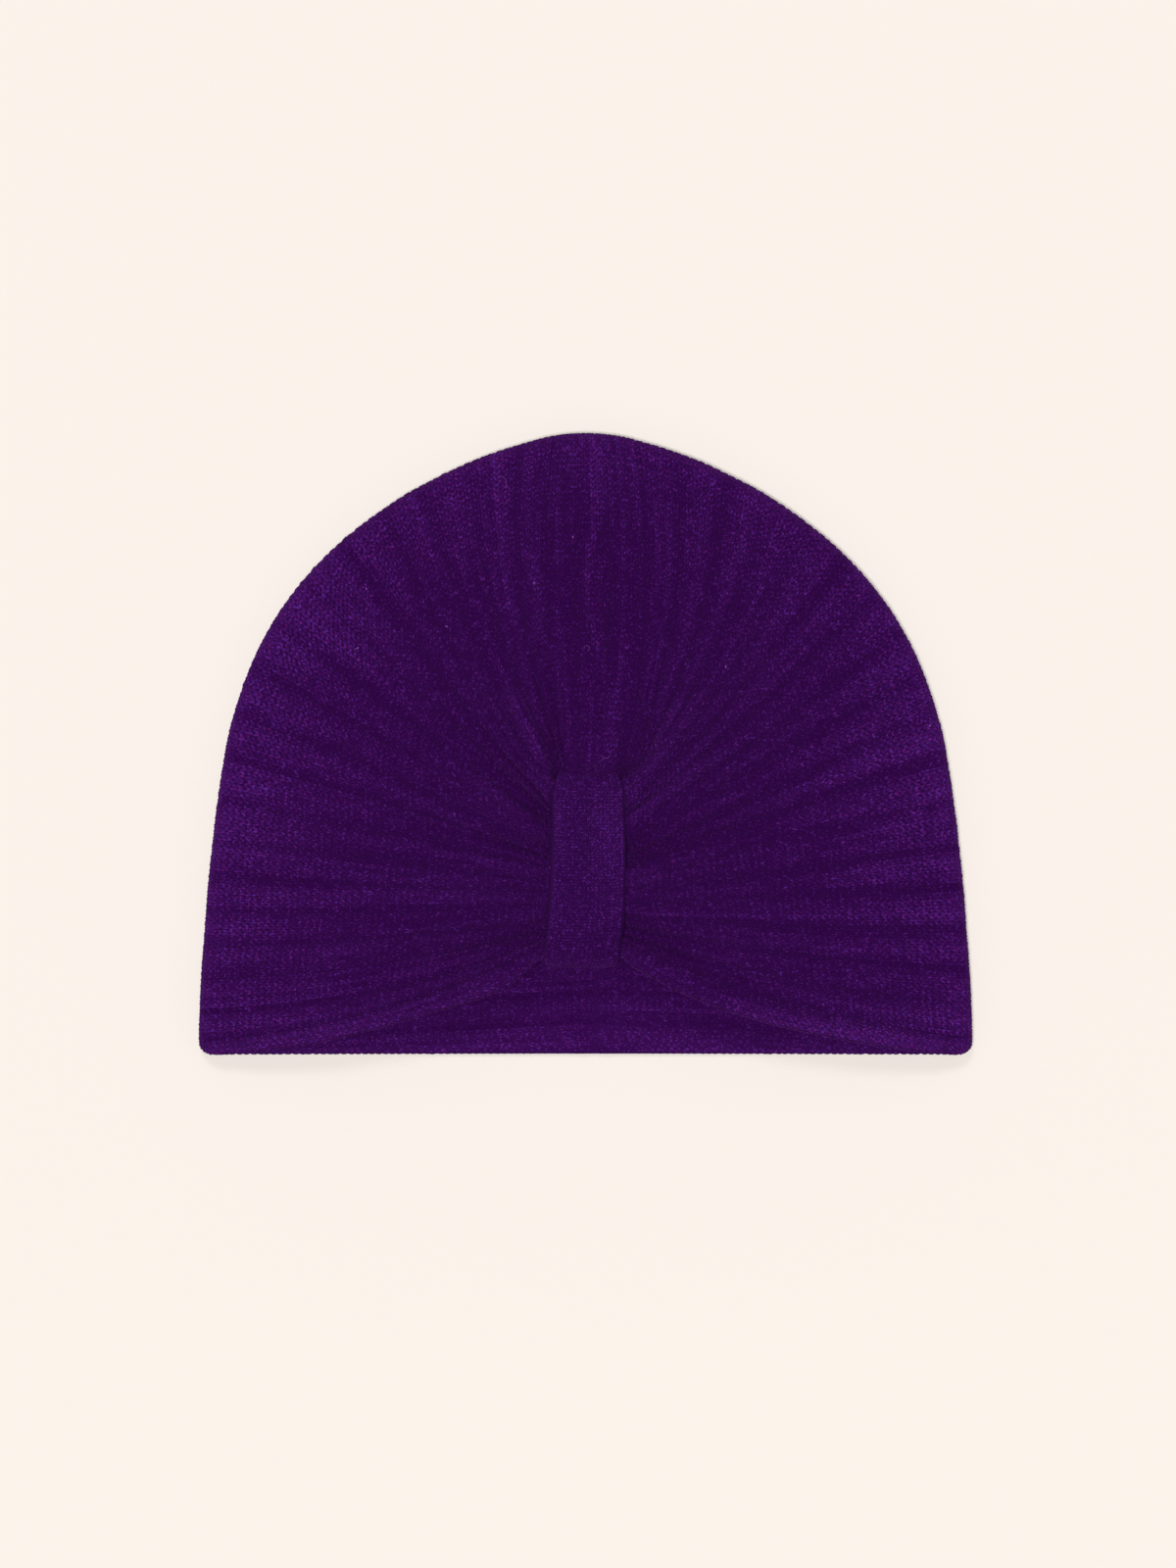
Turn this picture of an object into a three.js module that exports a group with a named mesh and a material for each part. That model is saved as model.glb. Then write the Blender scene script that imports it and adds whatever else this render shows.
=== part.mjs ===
import * as THREE from "three";

// A ribbed-knit turban beanie, lying on its back with its gathered front up.
// X runs across the hat, Y from the mouth (-) to the crown (+), Z up. Lengths are millimetres.
// Its ribs run round the head: from the strap at the front (the hub), out over the outline
// and in again to the seam at the middle of the back. Rib lines are counted clockwise from the
// left end of the front hem (0) over the crown seam (20) to the right end of the front hem (40).

const RIBS = 40;
const STRAP_TOP_LINE = 16; // the ribs up to here are bundled by the strap, on both sides
const RIB_STEPS = [0, 0.3, 0.7]; // columns in one rib: its groove, then both sides of its flat crest

const CREST_OVER = 1.6; // from the middle of the cloth out to a rib's crest
const CREST_UNDER = 1.4;
const GROOVE_OVER = 0.8; // how far a groove lies below the crests, outside and inside
const GROOVE_UNDER = 0.4;
const FOLD_GROOVE = 0.45; // share of a groove's depth left where the cloth turns over
const HEM_TAPER = 0.65; // share of the thickness left at a hem's edge

const FOLD_RADIUS = 4.4; // of the middle of the cloth, where it turns over at the outline
const BACK_Z = CREST_OVER; // the crests of the back lie on the ground
const FRONT_EDGE_Z = BACK_Z + 2 * FOLD_RADIUS;

const HEM_Y = -100.3;
const BACK_SEAM = { x: 2.8, firstRib: 10.6, pitch: 9.45 };
const CORNER = { x: 124.7, y: -96.5, radius: 3.8 };

// The outline from the corner of the hem to the crown.
const OUTLINE = [
  { y: -96.5, half: 124.7 },
  { y: -85.8, half: 124.4 },
  { y: -73.1, half: 123.8 },
  { y: -60.5, half: 122.8 },
  { y: -47.8, half: 121.9 },
  { y: -35.1, half: 120.6 },
  { y: -22.5, half: 119.2 },
  { y: -9.8, half: 117.4 },
  { y: 2.8, half: 115.2 },
  { y: 15.5, half: 111.6 },
  { y: 28.2, half: 106.7 },
  { y: 40.8, half: 99.9 },
  { y: 53.5, half: 90.5 },
  { y: 66.1, half: 77.9 },
  { y: 78.8, half: 60.8 },
  { y: 85.1, half: 49.7 },
  { y: 91.5, half: 36.1 },
  { y: 95.3, half: 25.6 },
  { y: 97.8, half: 17.1 },
  { y: 99.4, half: 10.5 },
  { y: 100.3, half: 0 },
];

// Where the ribs end round the strap, clockwise from its lower left; share counts that way round.
const HUB = [
  { share: 0, x: -12.0, y: -64.8 },
  { share: 0.07, x: -11.2, y: -54.3 },
  { share: 0.16, x: -10.6, y: -42.7 },
  { share: 0.27, x: -9.8, y: -25.6 },
  { share: 0.353, x: -14.0, y: -10.8 },
  { share: 0.385, x: -11.0, y: -7.4 },
  { share: 0.5, x: 0.8, y: -6.2 },
  { share: 0.57, x: 12.4, y: -7.4 },
  { share: 0.6, x: 15.5, y: -10.8 },
  { share: 0.73, x: 11.4, y: -25.6 },
  { share: 0.84, x: 11.9, y: -42.7 },
  { share: 0.93, x: 11.8, y: -54.3 },
  { share: 1, x: 11.5, y: -64.8 },
];

// The grooves between the ribs, from the left hem to the right: where each meets the outline and
// the hub as a share of their length, how far its middle bows out of the straight line between
// them (anticlockwise), and how deep it sinks between the pleats beside the strap.
const GROOVES = [
  { rim: 0.001, hub: 0.01, bow: 5.6, sink: 1.0 },
  { rim: 0.019, hub: 0.022, bow: 5.3, sink: 2.0 },
  { rim: 0.041, hub: 0.036, bow: 3.0, sink: 2.6 },
  { rim: 0.061, hub: 0.06, bow: 2.0, sink: 1.0 },
  { rim: 0.083, hub: 0.09, bow: 1.1, sink: 0.5 },
  { rim: 0.105, hub: 0.124, bow: 0.6, sink: 0.5 },
  { rim: 0.128, hub: 0.152, bow: 0.2, sink: 0.8 },
  { rim: 0.152, hub: 0.183, bow: 0.0, sink: 2.0 },
  { rim: 0.178, hub: 0.197, bow: -1.6, sink: 3.0 },
  { rim: 0.207, hub: 0.215, bow: -1.1, sink: 1.0 },
  { rim: 0.237, hub: 0.24, bow: -0.4, sink: 0.6 },
  { rim: 0.268, hub: 0.268, bow: 0.7, sink: 1.6 },
  { rim: 0.3, hub: 0.286, bow: 0.5, sink: 3.4 },
  { rim: 0.332, hub: 0.3, bow: 1.0, sink: 2.6 },
  { rim: 0.364, hub: 0.328, bow: 2.2, sink: 0.6 },
  { rim: 0.396, hub: 0.353, bow: 3.9, sink: 1.0 },
  { rim: 0.428, hub: 0.41, bow: 5.9, sink: 2.4 },
  { rim: 0.46, hub: 0.424, bow: 6.2, sink: 2.0 },
  { rim: 0.482, hub: 0.434, bow: 4.4, sink: 1.0 },
  { rim: 0.494, hub: 0.482, bow: 0.7, sink: 0.6 },
  { rim: 0.513, hub: 0.521, bow: -3.0, sink: 0.6 },
  { rim: 0.53, hub: 0.572, bow: -5.6, sink: 1.2 },
  { rim: 0.56, hub: 0.588, bow: -6.2, sink: 2.2 },
  { rim: 0.592, hub: 0.6, bow: -5.5, sink: 2.6 },
  { rim: 0.622, hub: 0.612, bow: -5.5, sink: 1.6 },
  { rim: 0.654, hub: 0.648, bow: -4.5, sink: 0.6 },
  { rim: 0.683, hub: 0.698, bow: -2.4, sink: 1.4 },
  { rim: 0.712, hub: 0.712, bow: -1.9, sink: 2.6 },
  { rim: 0.74, hub: 0.748, bow: -1.1, sink: 1.2 },
  { rim: 0.77, hub: 0.79, bow: 2.2, sink: 1.4 },
  { rim: 0.795, hub: 0.803, bow: -0.1, sink: 2.8 },
  { rim: 0.824, hub: 0.816, bow: 0.5, sink: 2.0 },
  { rim: 0.851, hub: 0.85, bow: 1.0, sink: 0.8 },
  { rim: 0.878, hub: 0.87, bow: -0.7, sink: 0.8 },
  { rim: 0.903, hub: 0.908, bow: -0.7, sink: 0.5 },
  { rim: 0.929, hub: 0.938, bow: -1.3, sink: 1.2 },
  { rim: 0.955, hub: 0.956, bow: -2.0, sink: 2.6 },
  { rim: 0.977, hub: 0.974, bow: -3.6, sink: 2.2 },
  { rim: 0.999, hub: 0.99, bow: -4.1, sink: 1.0 },
];

// The front hem arches up from both corners to the strap's foot.
const ARCH_LEFT = [
  { share: 0, x: -11.5, y: -67.8 },
  { share: 0.035, x: -15.6, y: -69.8 },
  { share: 0.1, x: -24.5, y: -77.9 },
  { share: 0.2, x: -34.0, y: -82.0 },
  { share: 0.34, x: -49.8, y: -86.4 },
  { share: 0.48, x: -65.7, y: -91.2 },
  { share: 0.64, x: -84.7, y: -95.9 },
  { share: 0.82, x: -105.2, y: -99.1 },
  { share: 1, x: -120.9, y: HEM_Y },
];
const ARCH_RIGHT = [
  { share: 0, x: 11.0, y: -67.8 },
  { share: 0.05, x: 15.5, y: -71.8 },
  { share: 0.15, x: 29.3, y: -79.4 },
  { share: 0.29, x: 45.1, y: -85.8 },
  { share: 0.43, x: 60.9, y: -90.5 },
  { share: 0.52, x: 70.4, y: -92.7 },
  { share: 0.66, x: 86.2, y: -95.9 },
  { share: 0.8, x: 100.5, y: -98.4 },
  { share: 1, x: 120.9, y: HEM_Y },
];

// Sections across the front from the hub (share 0) to the fold (1): height of the cloth's middle
// beside the strap and at the lip above it, its thickness over and under the middle,
// and how much of a groove's sink shows.
const SECTIONS = [
  { share: 0, side: 22.5, lip: 26.2, over: 3.0, under: 4.4, lipUnder: 1.6, fold: 0.3 },
  { share: 0.03, side: 23.8, lip: 27.0, over: 3.0, under: 4.5, lipUnder: 2.0, fold: 0.8 },
  { share: 0.08, side: 25.2, lip: 27.1, over: 2.9, under: 4.2, lipUnder: 2.4, fold: 1 },
  { share: 0.16, side: 25.5, lip: 26.4, over: 2.6, under: 3.4, lipUnder: 2.4, fold: 0.85 },
  { share: 0.28, side: 24.5, lip: 24.9, over: 2.2, under: 2.5, lipUnder: 2.2, fold: 0.55 },
  { share: 0.42, side: 22.7, lip: 22.9, over: 1.9, under: 1.9, lipUnder: 1.8, fold: 0.28 },
  { share: 0.58, side: 20.2, lip: 20.4, over: 1.7, under: 1.6, lipUnder: 1.6, fold: 0.1 },
  { share: 0.74, side: 17.0, lip: 17.1, over: 1.6, under: 1.4, lipUnder: 1.4, fold: 0 },
  { share: 0.88, side: 13.4, lip: 13.4, over: 1.6, under: 1.4, lipUnder: 1.4, fold: 0 },
  {
    share: 1,
    side: FRONT_EDGE_Z,
    lip: FRONT_EDGE_Z,
    over: CREST_OVER,
    under: CREST_UNDER,
    lipUnder: CREST_UNDER,
    fold: 0,
  },
];
const FOLD_ANGLES = [35, 65, 90, 120, 150, 180]; // round the fold, 0 on the front
const BACK_SHARES = [0.3, 0.6, 0.85, 1]; // from the fold to the back seam

// The strap: a flat band in a loop round the bundled ribs, a row for each section. It starts where
// it dives under the lip, runs down the front, under the arch and up again inside.
const STRAP_THICKNESS = 1.8;
const STRAP_SECTIONS = 44;
const STRAP = [
  { y: -10.3, z: 25.9, left: -9.6, right: 11.2 },
  { y: -13.2, z: 27.4, left: -10.9, right: 12.4 },
  { y: -19.0, z: 28.0, left: -10.9, right: 12.6 },
  { y: -31.0, z: 28.4, left: -10.9, right: 13.0 },
  { y: -45.0, z: 28.4, left: -11.4, right: 13.0 },
  { y: -58.0, z: 28.0, left: -12.3, right: 12.3 },
  { y: -65.5, z: 27.4, left: -13.2, right: 11.1 },
  { y: -69.5, z: 25.8, left: -13.7, right: 10.9 },
  { y: -70.8, z: 22.4, left: -12.6, right: 10.4 },
  { y: -69.7, z: 19.0, left: -11.2, right: 9.8 },
  { y: -65.5, z: 16.9, left: -10.2, right: 9.6 },
  { y: -50.0, z: 16.4, left: -9.4, right: 9.6 },
  { y: -30.0, z: 16.4, left: -9.4, right: 10.0 },
  { y: -15.0, z: 16.8, left: -9.4, right: 10.6 },
  { y: -10.2, z: 18.4, left: -9.4, right: 10.8 },
  { y: -8.9, z: 22.2, left: -9.4, right: 11.0 },
];

const KNIT = new THREE.MeshStandardMaterial({ color: 0x340c4a, roughness: 0.95, metalness: 0 });
const JERSEY = new THREE.MeshStandardMaterial({ color: 0x371150, roughness: 0.9, metalness: 0 });

const mix = (a, b, t) => a + (b - a) * t;
const mixPoint = (a, b, t) => ({ x: mix(a.x, b.x, t), y: mix(a.y, b.y, t) });
const between = (v, low, high) => Math.min(1, Math.max(0, (v - low) / (high - low)));

// A point of a table whose rows are in order of their share.
function rowPoint(rows, share) {
  let i = 1;
  while (i < rows.length - 1 && rows[i].share < share) i += 1;
  const [a, b] = [rows[i - 1], rows[i]];
  return mixPoint(a, b, (share - a.share) / (b.share - a.share));
}

function makeOutline() {
  const left = OUTLINE.map((row) => new THREE.Vector3(-row.half, row.y, 0));
  const right = OUTLINE.slice(0, -1)
    .reverse()
    .map((row) => new THREE.Vector3(row.half, row.y, 0));
  const curve = new THREE.CatmullRomCurve3([...left, ...right]);
  curve.arcLengthDivisions = 800;
  return curve;
}
const outline = makeOutline();

// A column of the groove table at any line between the first groove and the last.
function grooveValue(line, name) {
  const at = Math.min(RIBS - 1, Math.max(1, line));
  const i = Math.min(RIBS - 2, Math.floor(at));
  return mix(GROOVES[i - 1][name], GROOVES[i][name], at - i);
}

// The point of the outline where a line crosses it, and the direction that faces out there.
// Past the first and the last groove the outline rounds the corner of the hem.
function rimOf(line) {
  const past = line < 1 ? 1 - line : Math.max(0, line - (RIBS - 1));
  if (past > 0) {
    const side = line < 1 ? -1 : 1;
    const turn = (past * Math.PI) / 2;
    const x = side * (CORNER.x - CORNER.radius * (1 - Math.cos(turn)));
    const y = CORNER.y - CORNER.radius * Math.sin(turn);
    return { x, y, out: { x: side, y: 0 } };
  }
  const share = grooveValue(line, "rim");
  const point = outline.getPointAt(share);
  const along = outline.getTangentAt(share);
  return { x: point.x, y: point.y, out: { x: -along.y, y: along.x } };
}

// A line's plan position on the front, share 0 at the hub and 1 on the outline.
function grooveLine(line, share) {
  const hub = rowPoint(HUB, grooveValue(line, "hub"));
  const rim = rimOf(line);
  const length = Math.hypot(rim.x - hub.x, rim.y - hub.y);
  const bow = (grooveValue(line, "bow") * 4 * share * (1 - share)) / length;
  const straight = mixPoint(hub, rim, share);
  return { x: straight.x - (rim.y - hub.y) * bow, y: straight.y + (rim.x - hub.x) * bow };
}

function frontPlan(line, share) {
  if (line < 1) return mixPoint(rowPoint(ARCH_LEFT, share), grooveLine(1, share), line);
  if (line > RIBS - 1) {
    return mixPoint(rowPoint(ARCH_RIGHT, share), grooveLine(RIBS - 1, share), RIBS - line);
  }
  return grooveLine(line, share);
}

// The share at which a line comes within the fold's reach of the outline.
function foldShare(line) {
  const rim = rimOf(line);
  const before = frontPlan(line, 0.85);
  const dx = rim.x - before.x;
  const dy = rim.y - before.y;
  const reach = dx * rim.out.x + dy * rim.out.y;
  return 1 - (0.15 * (FOLD_RADIUS + CREST_OVER)) / reach;
}

function seamPoint(line) {
  const up = Math.min(line, RIBS - line);
  const rise = up < 1 ? up * BACK_SEAM.firstRib : BACK_SEAM.firstRib + (up - 1) * BACK_SEAM.pitch;
  return { x: BACK_SEAM.x, y: HEM_Y + rise };
}

const lipShare = (line) =>
  between(line, STRAP_TOP_LINE, STRAP_TOP_LINE + 1) *
  between(RIBS - line, STRAP_TOP_LINE, STRAP_TOP_LINE + 1);

const isGroove = (column) => column % RIB_STEPS.length === 0 && column > 0 && column < COLUMNS;

// The cloth gets thinner towards the two ends of the front hem and of the back's.
const hemShare = (line) => mix(HEM_TAPER, 1, between(Math.min(line, RIBS - line), 0, 0.7));

const COLUMNS = RIBS * RIB_STEPS.length;
const lineOf = (column) =>
  Math.floor(column / RIB_STEPS.length) + RIB_STEPS[column % RIB_STEPS.length];

// Two faces of cloth, grown point by point: each point has its middle, the direction that faces
// out, and the thickness over and under it. A wall closes them wherever a face ends.
class Shell {
  constructor() {
    this.over = [];
    this.under = [];
    this.faces = [];
  }

  point(middle, out, over, under) {
    this.over.push(middle.clone().addScaledVector(out, over));
    this.under.push(middle.clone().addScaledVector(out, -under));
    return this.over.length - 1;
  }

  quad(a, b, c, d) {
    this.faces.push([a, b, c], [a, c, d]);
  }

  geometry() {
    const count = this.over.length;
    const index = [];
    const open = new Map();
    for (const [a, b, c] of this.faces) {
      index.push(a, b, c, a + count, c + count, b + count);
      for (const [from, to] of [
        [a, b],
        [b, c],
        [c, a],
      ]) {
        if (!open.delete(`${to} ${from}`)) open.set(`${from} ${to}`, [from, to]);
      }
    }
    for (const [from, to] of open.values()) {
      index.push(to, from, from + count, to, from + count, to + count);
    }
    const geometry = new THREE.BufferGeometry().setFromPoints([...this.over, ...this.under]);
    geometry.setIndex(index);
    geometry.computeVertexNormals();
    return geometry;
  }
}

const UP = new THREE.Vector3(0, 0, 1);
const DOWN = new THREE.Vector3(0, 0, -1);
const spot = (plan, z) => new THREE.Vector3(plan.x, plan.y, z);

function frontPoint(shell, column, section, foldAt) {
  const line = lineOf(column);
  const lip = lipShare(line);
  const plan = frontPlan(line, section.share * foldAt);
  const hem = hemShare(line);
  let over = section.over * hem;
  let under = mix(section.under, section.lipUnder, lip) * hem;
  if (isGroove(column)) {
    over -= GROOVE_OVER + grooveValue(line, "sink") * section.fold;
    under -= GROOVE_UNDER * between(section.share, 0.1, 0.4);
  }
  return shell.point(spot(plan, mix(section.side, section.lip, lip)), UP, over, under);
}

// The grooves are pulled flatter where the cloth turns over at the outline.
function clothThickness(column, depth) {
  const hem = hemShare(lineOf(column));
  const groove = isGroove(column) ? depth : 0;
  return {
    over: CREST_OVER * hem - GROOVE_OVER * groove,
    under: CREST_UNDER * hem - GROOVE_UNDER * groove,
  };
}

function foldPoint(shell, column, degrees, foldAt) {
  const line = lineOf(column);
  const rim = rimOf(line);
  const turn = (degrees * Math.PI) / 180;
  const inset = CREST_OVER + FOLD_RADIUS * (1 - Math.sin(turn));
  const start = frontPlan(line, foldAt);
  const seam = seamPoint(line);
  const toSeam = (rim.x - seam.x) * rim.out.x + (rim.y - seam.y) * rim.out.y;
  const plan =
    degrees <= 90
      ? mixPoint(rim, start, inset / (CREST_OVER + FOLD_RADIUS))
      : mixPoint(rim, seam, inset / toSeam);
  const out = new THREE.Vector3(rim.out.x, rim.out.y, 0)
    .multiplyScalar(Math.sin(turn))
    .addScaledVector(UP, Math.cos(turn));
  const { over, under } = clothThickness(column, mix(1, FOLD_GROOVE, Math.sin(turn)));
  return shell.point(spot(plan, BACK_Z + FOLD_RADIUS * (1 + Math.cos(turn))), out, over, under);
}

function backPoint(shell, column, share) {
  const line = lineOf(column);
  const rim = rimOf(line);
  const seam = seamPoint(line);
  const toSeam = (rim.x - seam.x) * rim.out.x + (rim.y - seam.y) * rim.out.y;
  const start = mixPoint(rim, seam, (CREST_OVER + FOLD_RADIUS) / toSeam);
  const { over, under } = clothThickness(column, 1);
  const seamed = share === 1 ? 0.5 : 0;
  return shell.point(spot(mixPoint(start, seam, share), BACK_Z), DOWN, over - seamed, under);
}

// One column of points from the hub over the fold to the back seam. The right half ends on the
// points that the left half made on the seam.
function ribColumn(shell, column, grid) {
  const foldAt = foldShare(lineOf(column));
  const points = SECTIONS.map((section) => frontPoint(shell, column, section, foldAt));
  for (const degrees of FOLD_ANGLES) points.push(foldPoint(shell, column, degrees, foldAt));
  for (const share of BACK_SHARES) {
    const twin = share === 1 ? grid[COLUMNS - column] : undefined;
    points.push(twin ? twin[twin.length - 1] : backPoint(shell, column, share));
  }
  return points;
}

// The bundled ribs run on under the strap from each left column to its twin on the right.
function bundleRow(shell, column, left, right) {
  const middle = (index) => shell.over[index].clone().add(shell.under[index]).multiplyScalar(0.5);
  const ends = [middle(left), middle(right)];
  const last = STRAP_TOP_LINE * RIB_STEPS.length;
  const fullness = between(Math.min(column, last - column), 0, 8);
  const over = mix(2.0, 3.5, fullness);
  const under = mix(1.4, 3.6, fullness);
  const row = [left];
  for (const share of [1 / 3, 2 / 3]) {
    const at = ends[0].clone().lerp(ends[1], share);
    at.z += 0.5;
    at.y -= 1.4 * between(column, last - 4, last);
    row.push(shell.point(at, UP, over, under));
  }
  row.push(right);
  return row;
}

function ribbedCrown() {
  const shell = new Shell();
  const grid = [];
  for (let column = 0; column <= COLUMNS; column += 1) grid.push(ribColumn(shell, column, grid));
  for (let c = 0; c < COLUMNS; c += 1) {
    for (let r = 0; r < grid[c].length - 1; r += 1) {
      shell.quad(grid[c][r], grid[c + 1][r], grid[c + 1][r + 1], grid[c][r + 1]);
    }
  }
  const bundle = [];
  for (let c = 0; c <= STRAP_TOP_LINE * RIB_STEPS.length; c += 1) {
    bundle.push(bundleRow(shell, c, grid[c][0], grid[COLUMNS - c][0]));
  }
  for (let c = 0; c < bundle.length - 1; c += 1) {
    for (let b = 0; b < bundle[c].length - 1; b += 1) {
      shell.quad(bundle[c][b], bundle[c][b + 1], bundle[c + 1][b + 1], bundle[c + 1][b]);
    }
  }
  return shell.geometry();
}

// The strap's section: across its outer side from left to right, then back across its inner side.
const STRAP_PROFILE = [
  { across: 0, out: 0 },
  { across: 0.06, out: 0.5 },
  { across: 0.5, out: 0.6 },
  { across: 0.94, out: 0.5 },
  { across: 1, out: 0 },
  { across: 0.94, out: -0.5 },
  { across: 0.5, out: -0.4 },
  { across: 0.06, out: -0.5 },
];

function frontStrap() {
  const edge = (side) =>
    new THREE.CatmullRomCurve3(
      STRAP.map((row) => new THREE.Vector3(row[side], row.y, row.z)),
      true,
    );
  const [left, right] = [edge("left"), edge("right")];
  const points = [];
  for (let i = 0; i < STRAP_SECTIONS; i += 1) {
    const a = left.getPoint(i / STRAP_SECTIONS);
    const b = right.getPoint(i / STRAP_SECTIONS);
    const along = left.getTangent(i / STRAP_SECTIONS);
    const out = new THREE.Vector3(0, along.z, -along.y).normalize();
    for (const corner of STRAP_PROFILE) {
      points.push(
        a
          .clone()
          .lerp(b, corner.across)
          .addScaledVector(out, corner.out * STRAP_THICKNESS),
      );
    }
  }
  const sides = STRAP_PROFILE.length;
  const index = [];
  for (let i = 0; i < STRAP_SECTIONS; i += 1) {
    for (let s = 0; s < sides; s += 1) {
      const next = ((i + 1) % STRAP_SECTIONS) * sides;
      const here = i * sides;
      const t = (s + 1) % sides;
      index.push(here + s, next + s, next + t, here + s, next + t, here + t);
    }
  }
  const geometry = new THREE.BufferGeometry().setFromPoints(points);
  geometry.setIndex(index);
  geometry.computeVertexNormals();
  return geometry;
}

function named(name, geometry, material) {
  const mesh = new THREE.Mesh(geometry, material);
  mesh.name = name;
  return mesh;
}

const beanie = new THREE.Group();
beanie.name = "turban_beanie";
beanie.add(named("ribbed_crown", ribbedCrown(), KNIT));
beanie.add(named("front_strap", frontStrap(), JERSEY));

export default beanie;
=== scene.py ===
"""A rib-knit turban beanie lying flat on its back, dressed over its CAD frame.

The shape is worked out in millimetres from the tables that shape the solids, a little finer here
and there. The ribs run round the head: from the strap at the front, out over the outline and in
again to the seam down the back. Rib lines are counted from the left end of the front hem (0),
over the top of the crown (20), to the right end of the front hem (40).
"""

import math

import bpy
import numpy as np
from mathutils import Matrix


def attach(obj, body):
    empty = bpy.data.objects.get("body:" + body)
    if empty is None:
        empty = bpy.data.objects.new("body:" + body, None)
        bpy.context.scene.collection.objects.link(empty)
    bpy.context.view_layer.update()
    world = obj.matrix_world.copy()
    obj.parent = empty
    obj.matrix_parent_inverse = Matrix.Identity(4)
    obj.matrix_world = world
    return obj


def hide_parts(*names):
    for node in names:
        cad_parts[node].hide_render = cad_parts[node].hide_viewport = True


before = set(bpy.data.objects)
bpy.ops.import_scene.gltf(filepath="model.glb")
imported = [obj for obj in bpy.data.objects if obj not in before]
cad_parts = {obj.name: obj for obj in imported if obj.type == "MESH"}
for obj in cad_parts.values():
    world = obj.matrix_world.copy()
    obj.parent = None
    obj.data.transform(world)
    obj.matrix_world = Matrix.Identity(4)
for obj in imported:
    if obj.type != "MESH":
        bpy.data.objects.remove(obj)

bl_info = {
    "name": "Turban Beanie",
    "version": (1, 0, 0),
    "blender": (4, 5, 0),
    "location": "View3D > Sidebar > Beanie",
    "description": "Makes a rib-knit turban beanie stitch by stitch, with its strap and its stage",
    "category": "Add Mesh",
}

# Lengths are in millimetres, and MM turns them into metres.
MM = 0.001
# The ribs, and the line that meets the left end of the strap's top.
RIBS, STRAP_TOP_LINE = 40, 16
# How far the crests stand over and under the cloth's middle, and the share of it left at a hem.
CREST_OVER, CREST_UNDER, HEM_TAPER = 1.6, 1.4, 0.65
# The turn at the outline, and the height of the cloth's middle below and above it.
FOLD_RADIUS = 4.4
BACK_Z = CREST_OVER
FRONT_EDGE_Z = BACK_Z + 2 * FOLD_RADIUS
# The hem, the back seam and the corners of the hem.
HEM_Y = -100.3
SEAM_X, SEAM_FIRST_RIB, SEAM_PITCH = 2.8, 10.6, 9.45
CORNER_X, CORNER_Y, CORNER_RADIUS = 124.7, -96.5, 3.8

# The outline from the hem's corner to the crown: y, half width.
OUTLINE = (
    (-96.5, 124.7), (-85.8, 124.4), (-73.1, 123.8), (-60.5, 122.8), (-47.8, 121.9),
    (-35.1, 120.6), (-22.5, 119.2), (-9.8, 117.4), (2.8, 115.2), (15.5, 111.6), (28.2, 106.7),
    (40.8, 99.9), (53.5, 90.5), (66.1, 77.9), (78.8, 60.8), (85.1, 49.7), (91.5, 36.1),
    (95.3, 25.6), (97.8, 17.1), (99.4, 10.5), (100.3, 0.0),
)

# Where the ribs end round the strap: share of the way round, x, y.
HUB = np.array((
    (0, -12.0, -64.8), (0.07, -11.2, -54.3), (0.16, -10.6, -42.7), (0.27, -9.8, -25.6),
    (0.353, -14.0, -10.8), (0.385, -11.0, -7.4), (0.5, 0.8, -6.2), (0.57, 12.4, -7.4),
    (0.6, 15.5, -10.8), (0.73, 11.4, -25.6), (0.84, 11.9, -42.7), (0.93, 11.8, -54.3),
    (1, 11.5, -64.8),
))

# The grooves between the ribs, 1 to 39: share along the outline, share round the strap,
# bow of its middle, and how deep it sinks between the pleats beside the strap.
GROOVES = np.array((
    (0.001, 0.01, 5.6, 1.0), (0.019, 0.022, 5.3, 2.0), (0.041, 0.036, 3.0, 2.6),
    (0.061, 0.06, 2.0, 1.0), (0.083, 0.09, 1.1, 0.5), (0.105, 0.124, 0.6, 0.5),
    (0.128, 0.152, 0.2, 0.8), (0.152, 0.183, 0.0, 2.0), (0.178, 0.197, -1.6, 3.0),
    (0.207, 0.215, -1.1, 1.0), (0.237, 0.24, -0.4, 0.6), (0.268, 0.268, 0.7, 1.6),
    (0.3, 0.286, 0.5, 3.4), (0.332, 0.3, 1.0, 2.6), (0.364, 0.328, 2.2, 0.6),
    (0.396, 0.353, 3.9, 1.0), (0.428, 0.41, 5.9, 2.4), (0.46, 0.424, 6.2, 2.0),
    (0.482, 0.434, 4.4, 1.0), (0.494, 0.482, 0.7, 0.6), (0.513, 0.521, -3.0, 0.6),
    (0.53, 0.572, -5.6, 1.2), (0.56, 0.588, -6.2, 2.2), (0.592, 0.6, -5.5, 2.6),
    (0.622, 0.612, -5.5, 1.6), (0.654, 0.648, -4.5, 0.6), (0.683, 0.698, -2.4, 1.4),
    (0.712, 0.712, -1.9, 2.6), (0.74, 0.748, -1.1, 1.2), (0.77, 0.79, 2.2, 1.4),
    (0.795, 0.803, -0.1, 2.8), (0.824, 0.816, 0.5, 2.0), (0.851, 0.85, 1.0, 0.8),
    (0.878, 0.87, -0.7, 0.8), (0.903, 0.908, -0.7, 0.5), (0.929, 0.938, -1.3, 1.2),
    (0.955, 0.956, -2.0, 2.6), (0.977, 0.974, -3.6, 2.2), (0.999, 0.99, -4.1, 1.0),
))
GROOVE_COLUMNS = {"rim": 0, "hub": 1, "bow": 2, "sink": 3}

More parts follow.
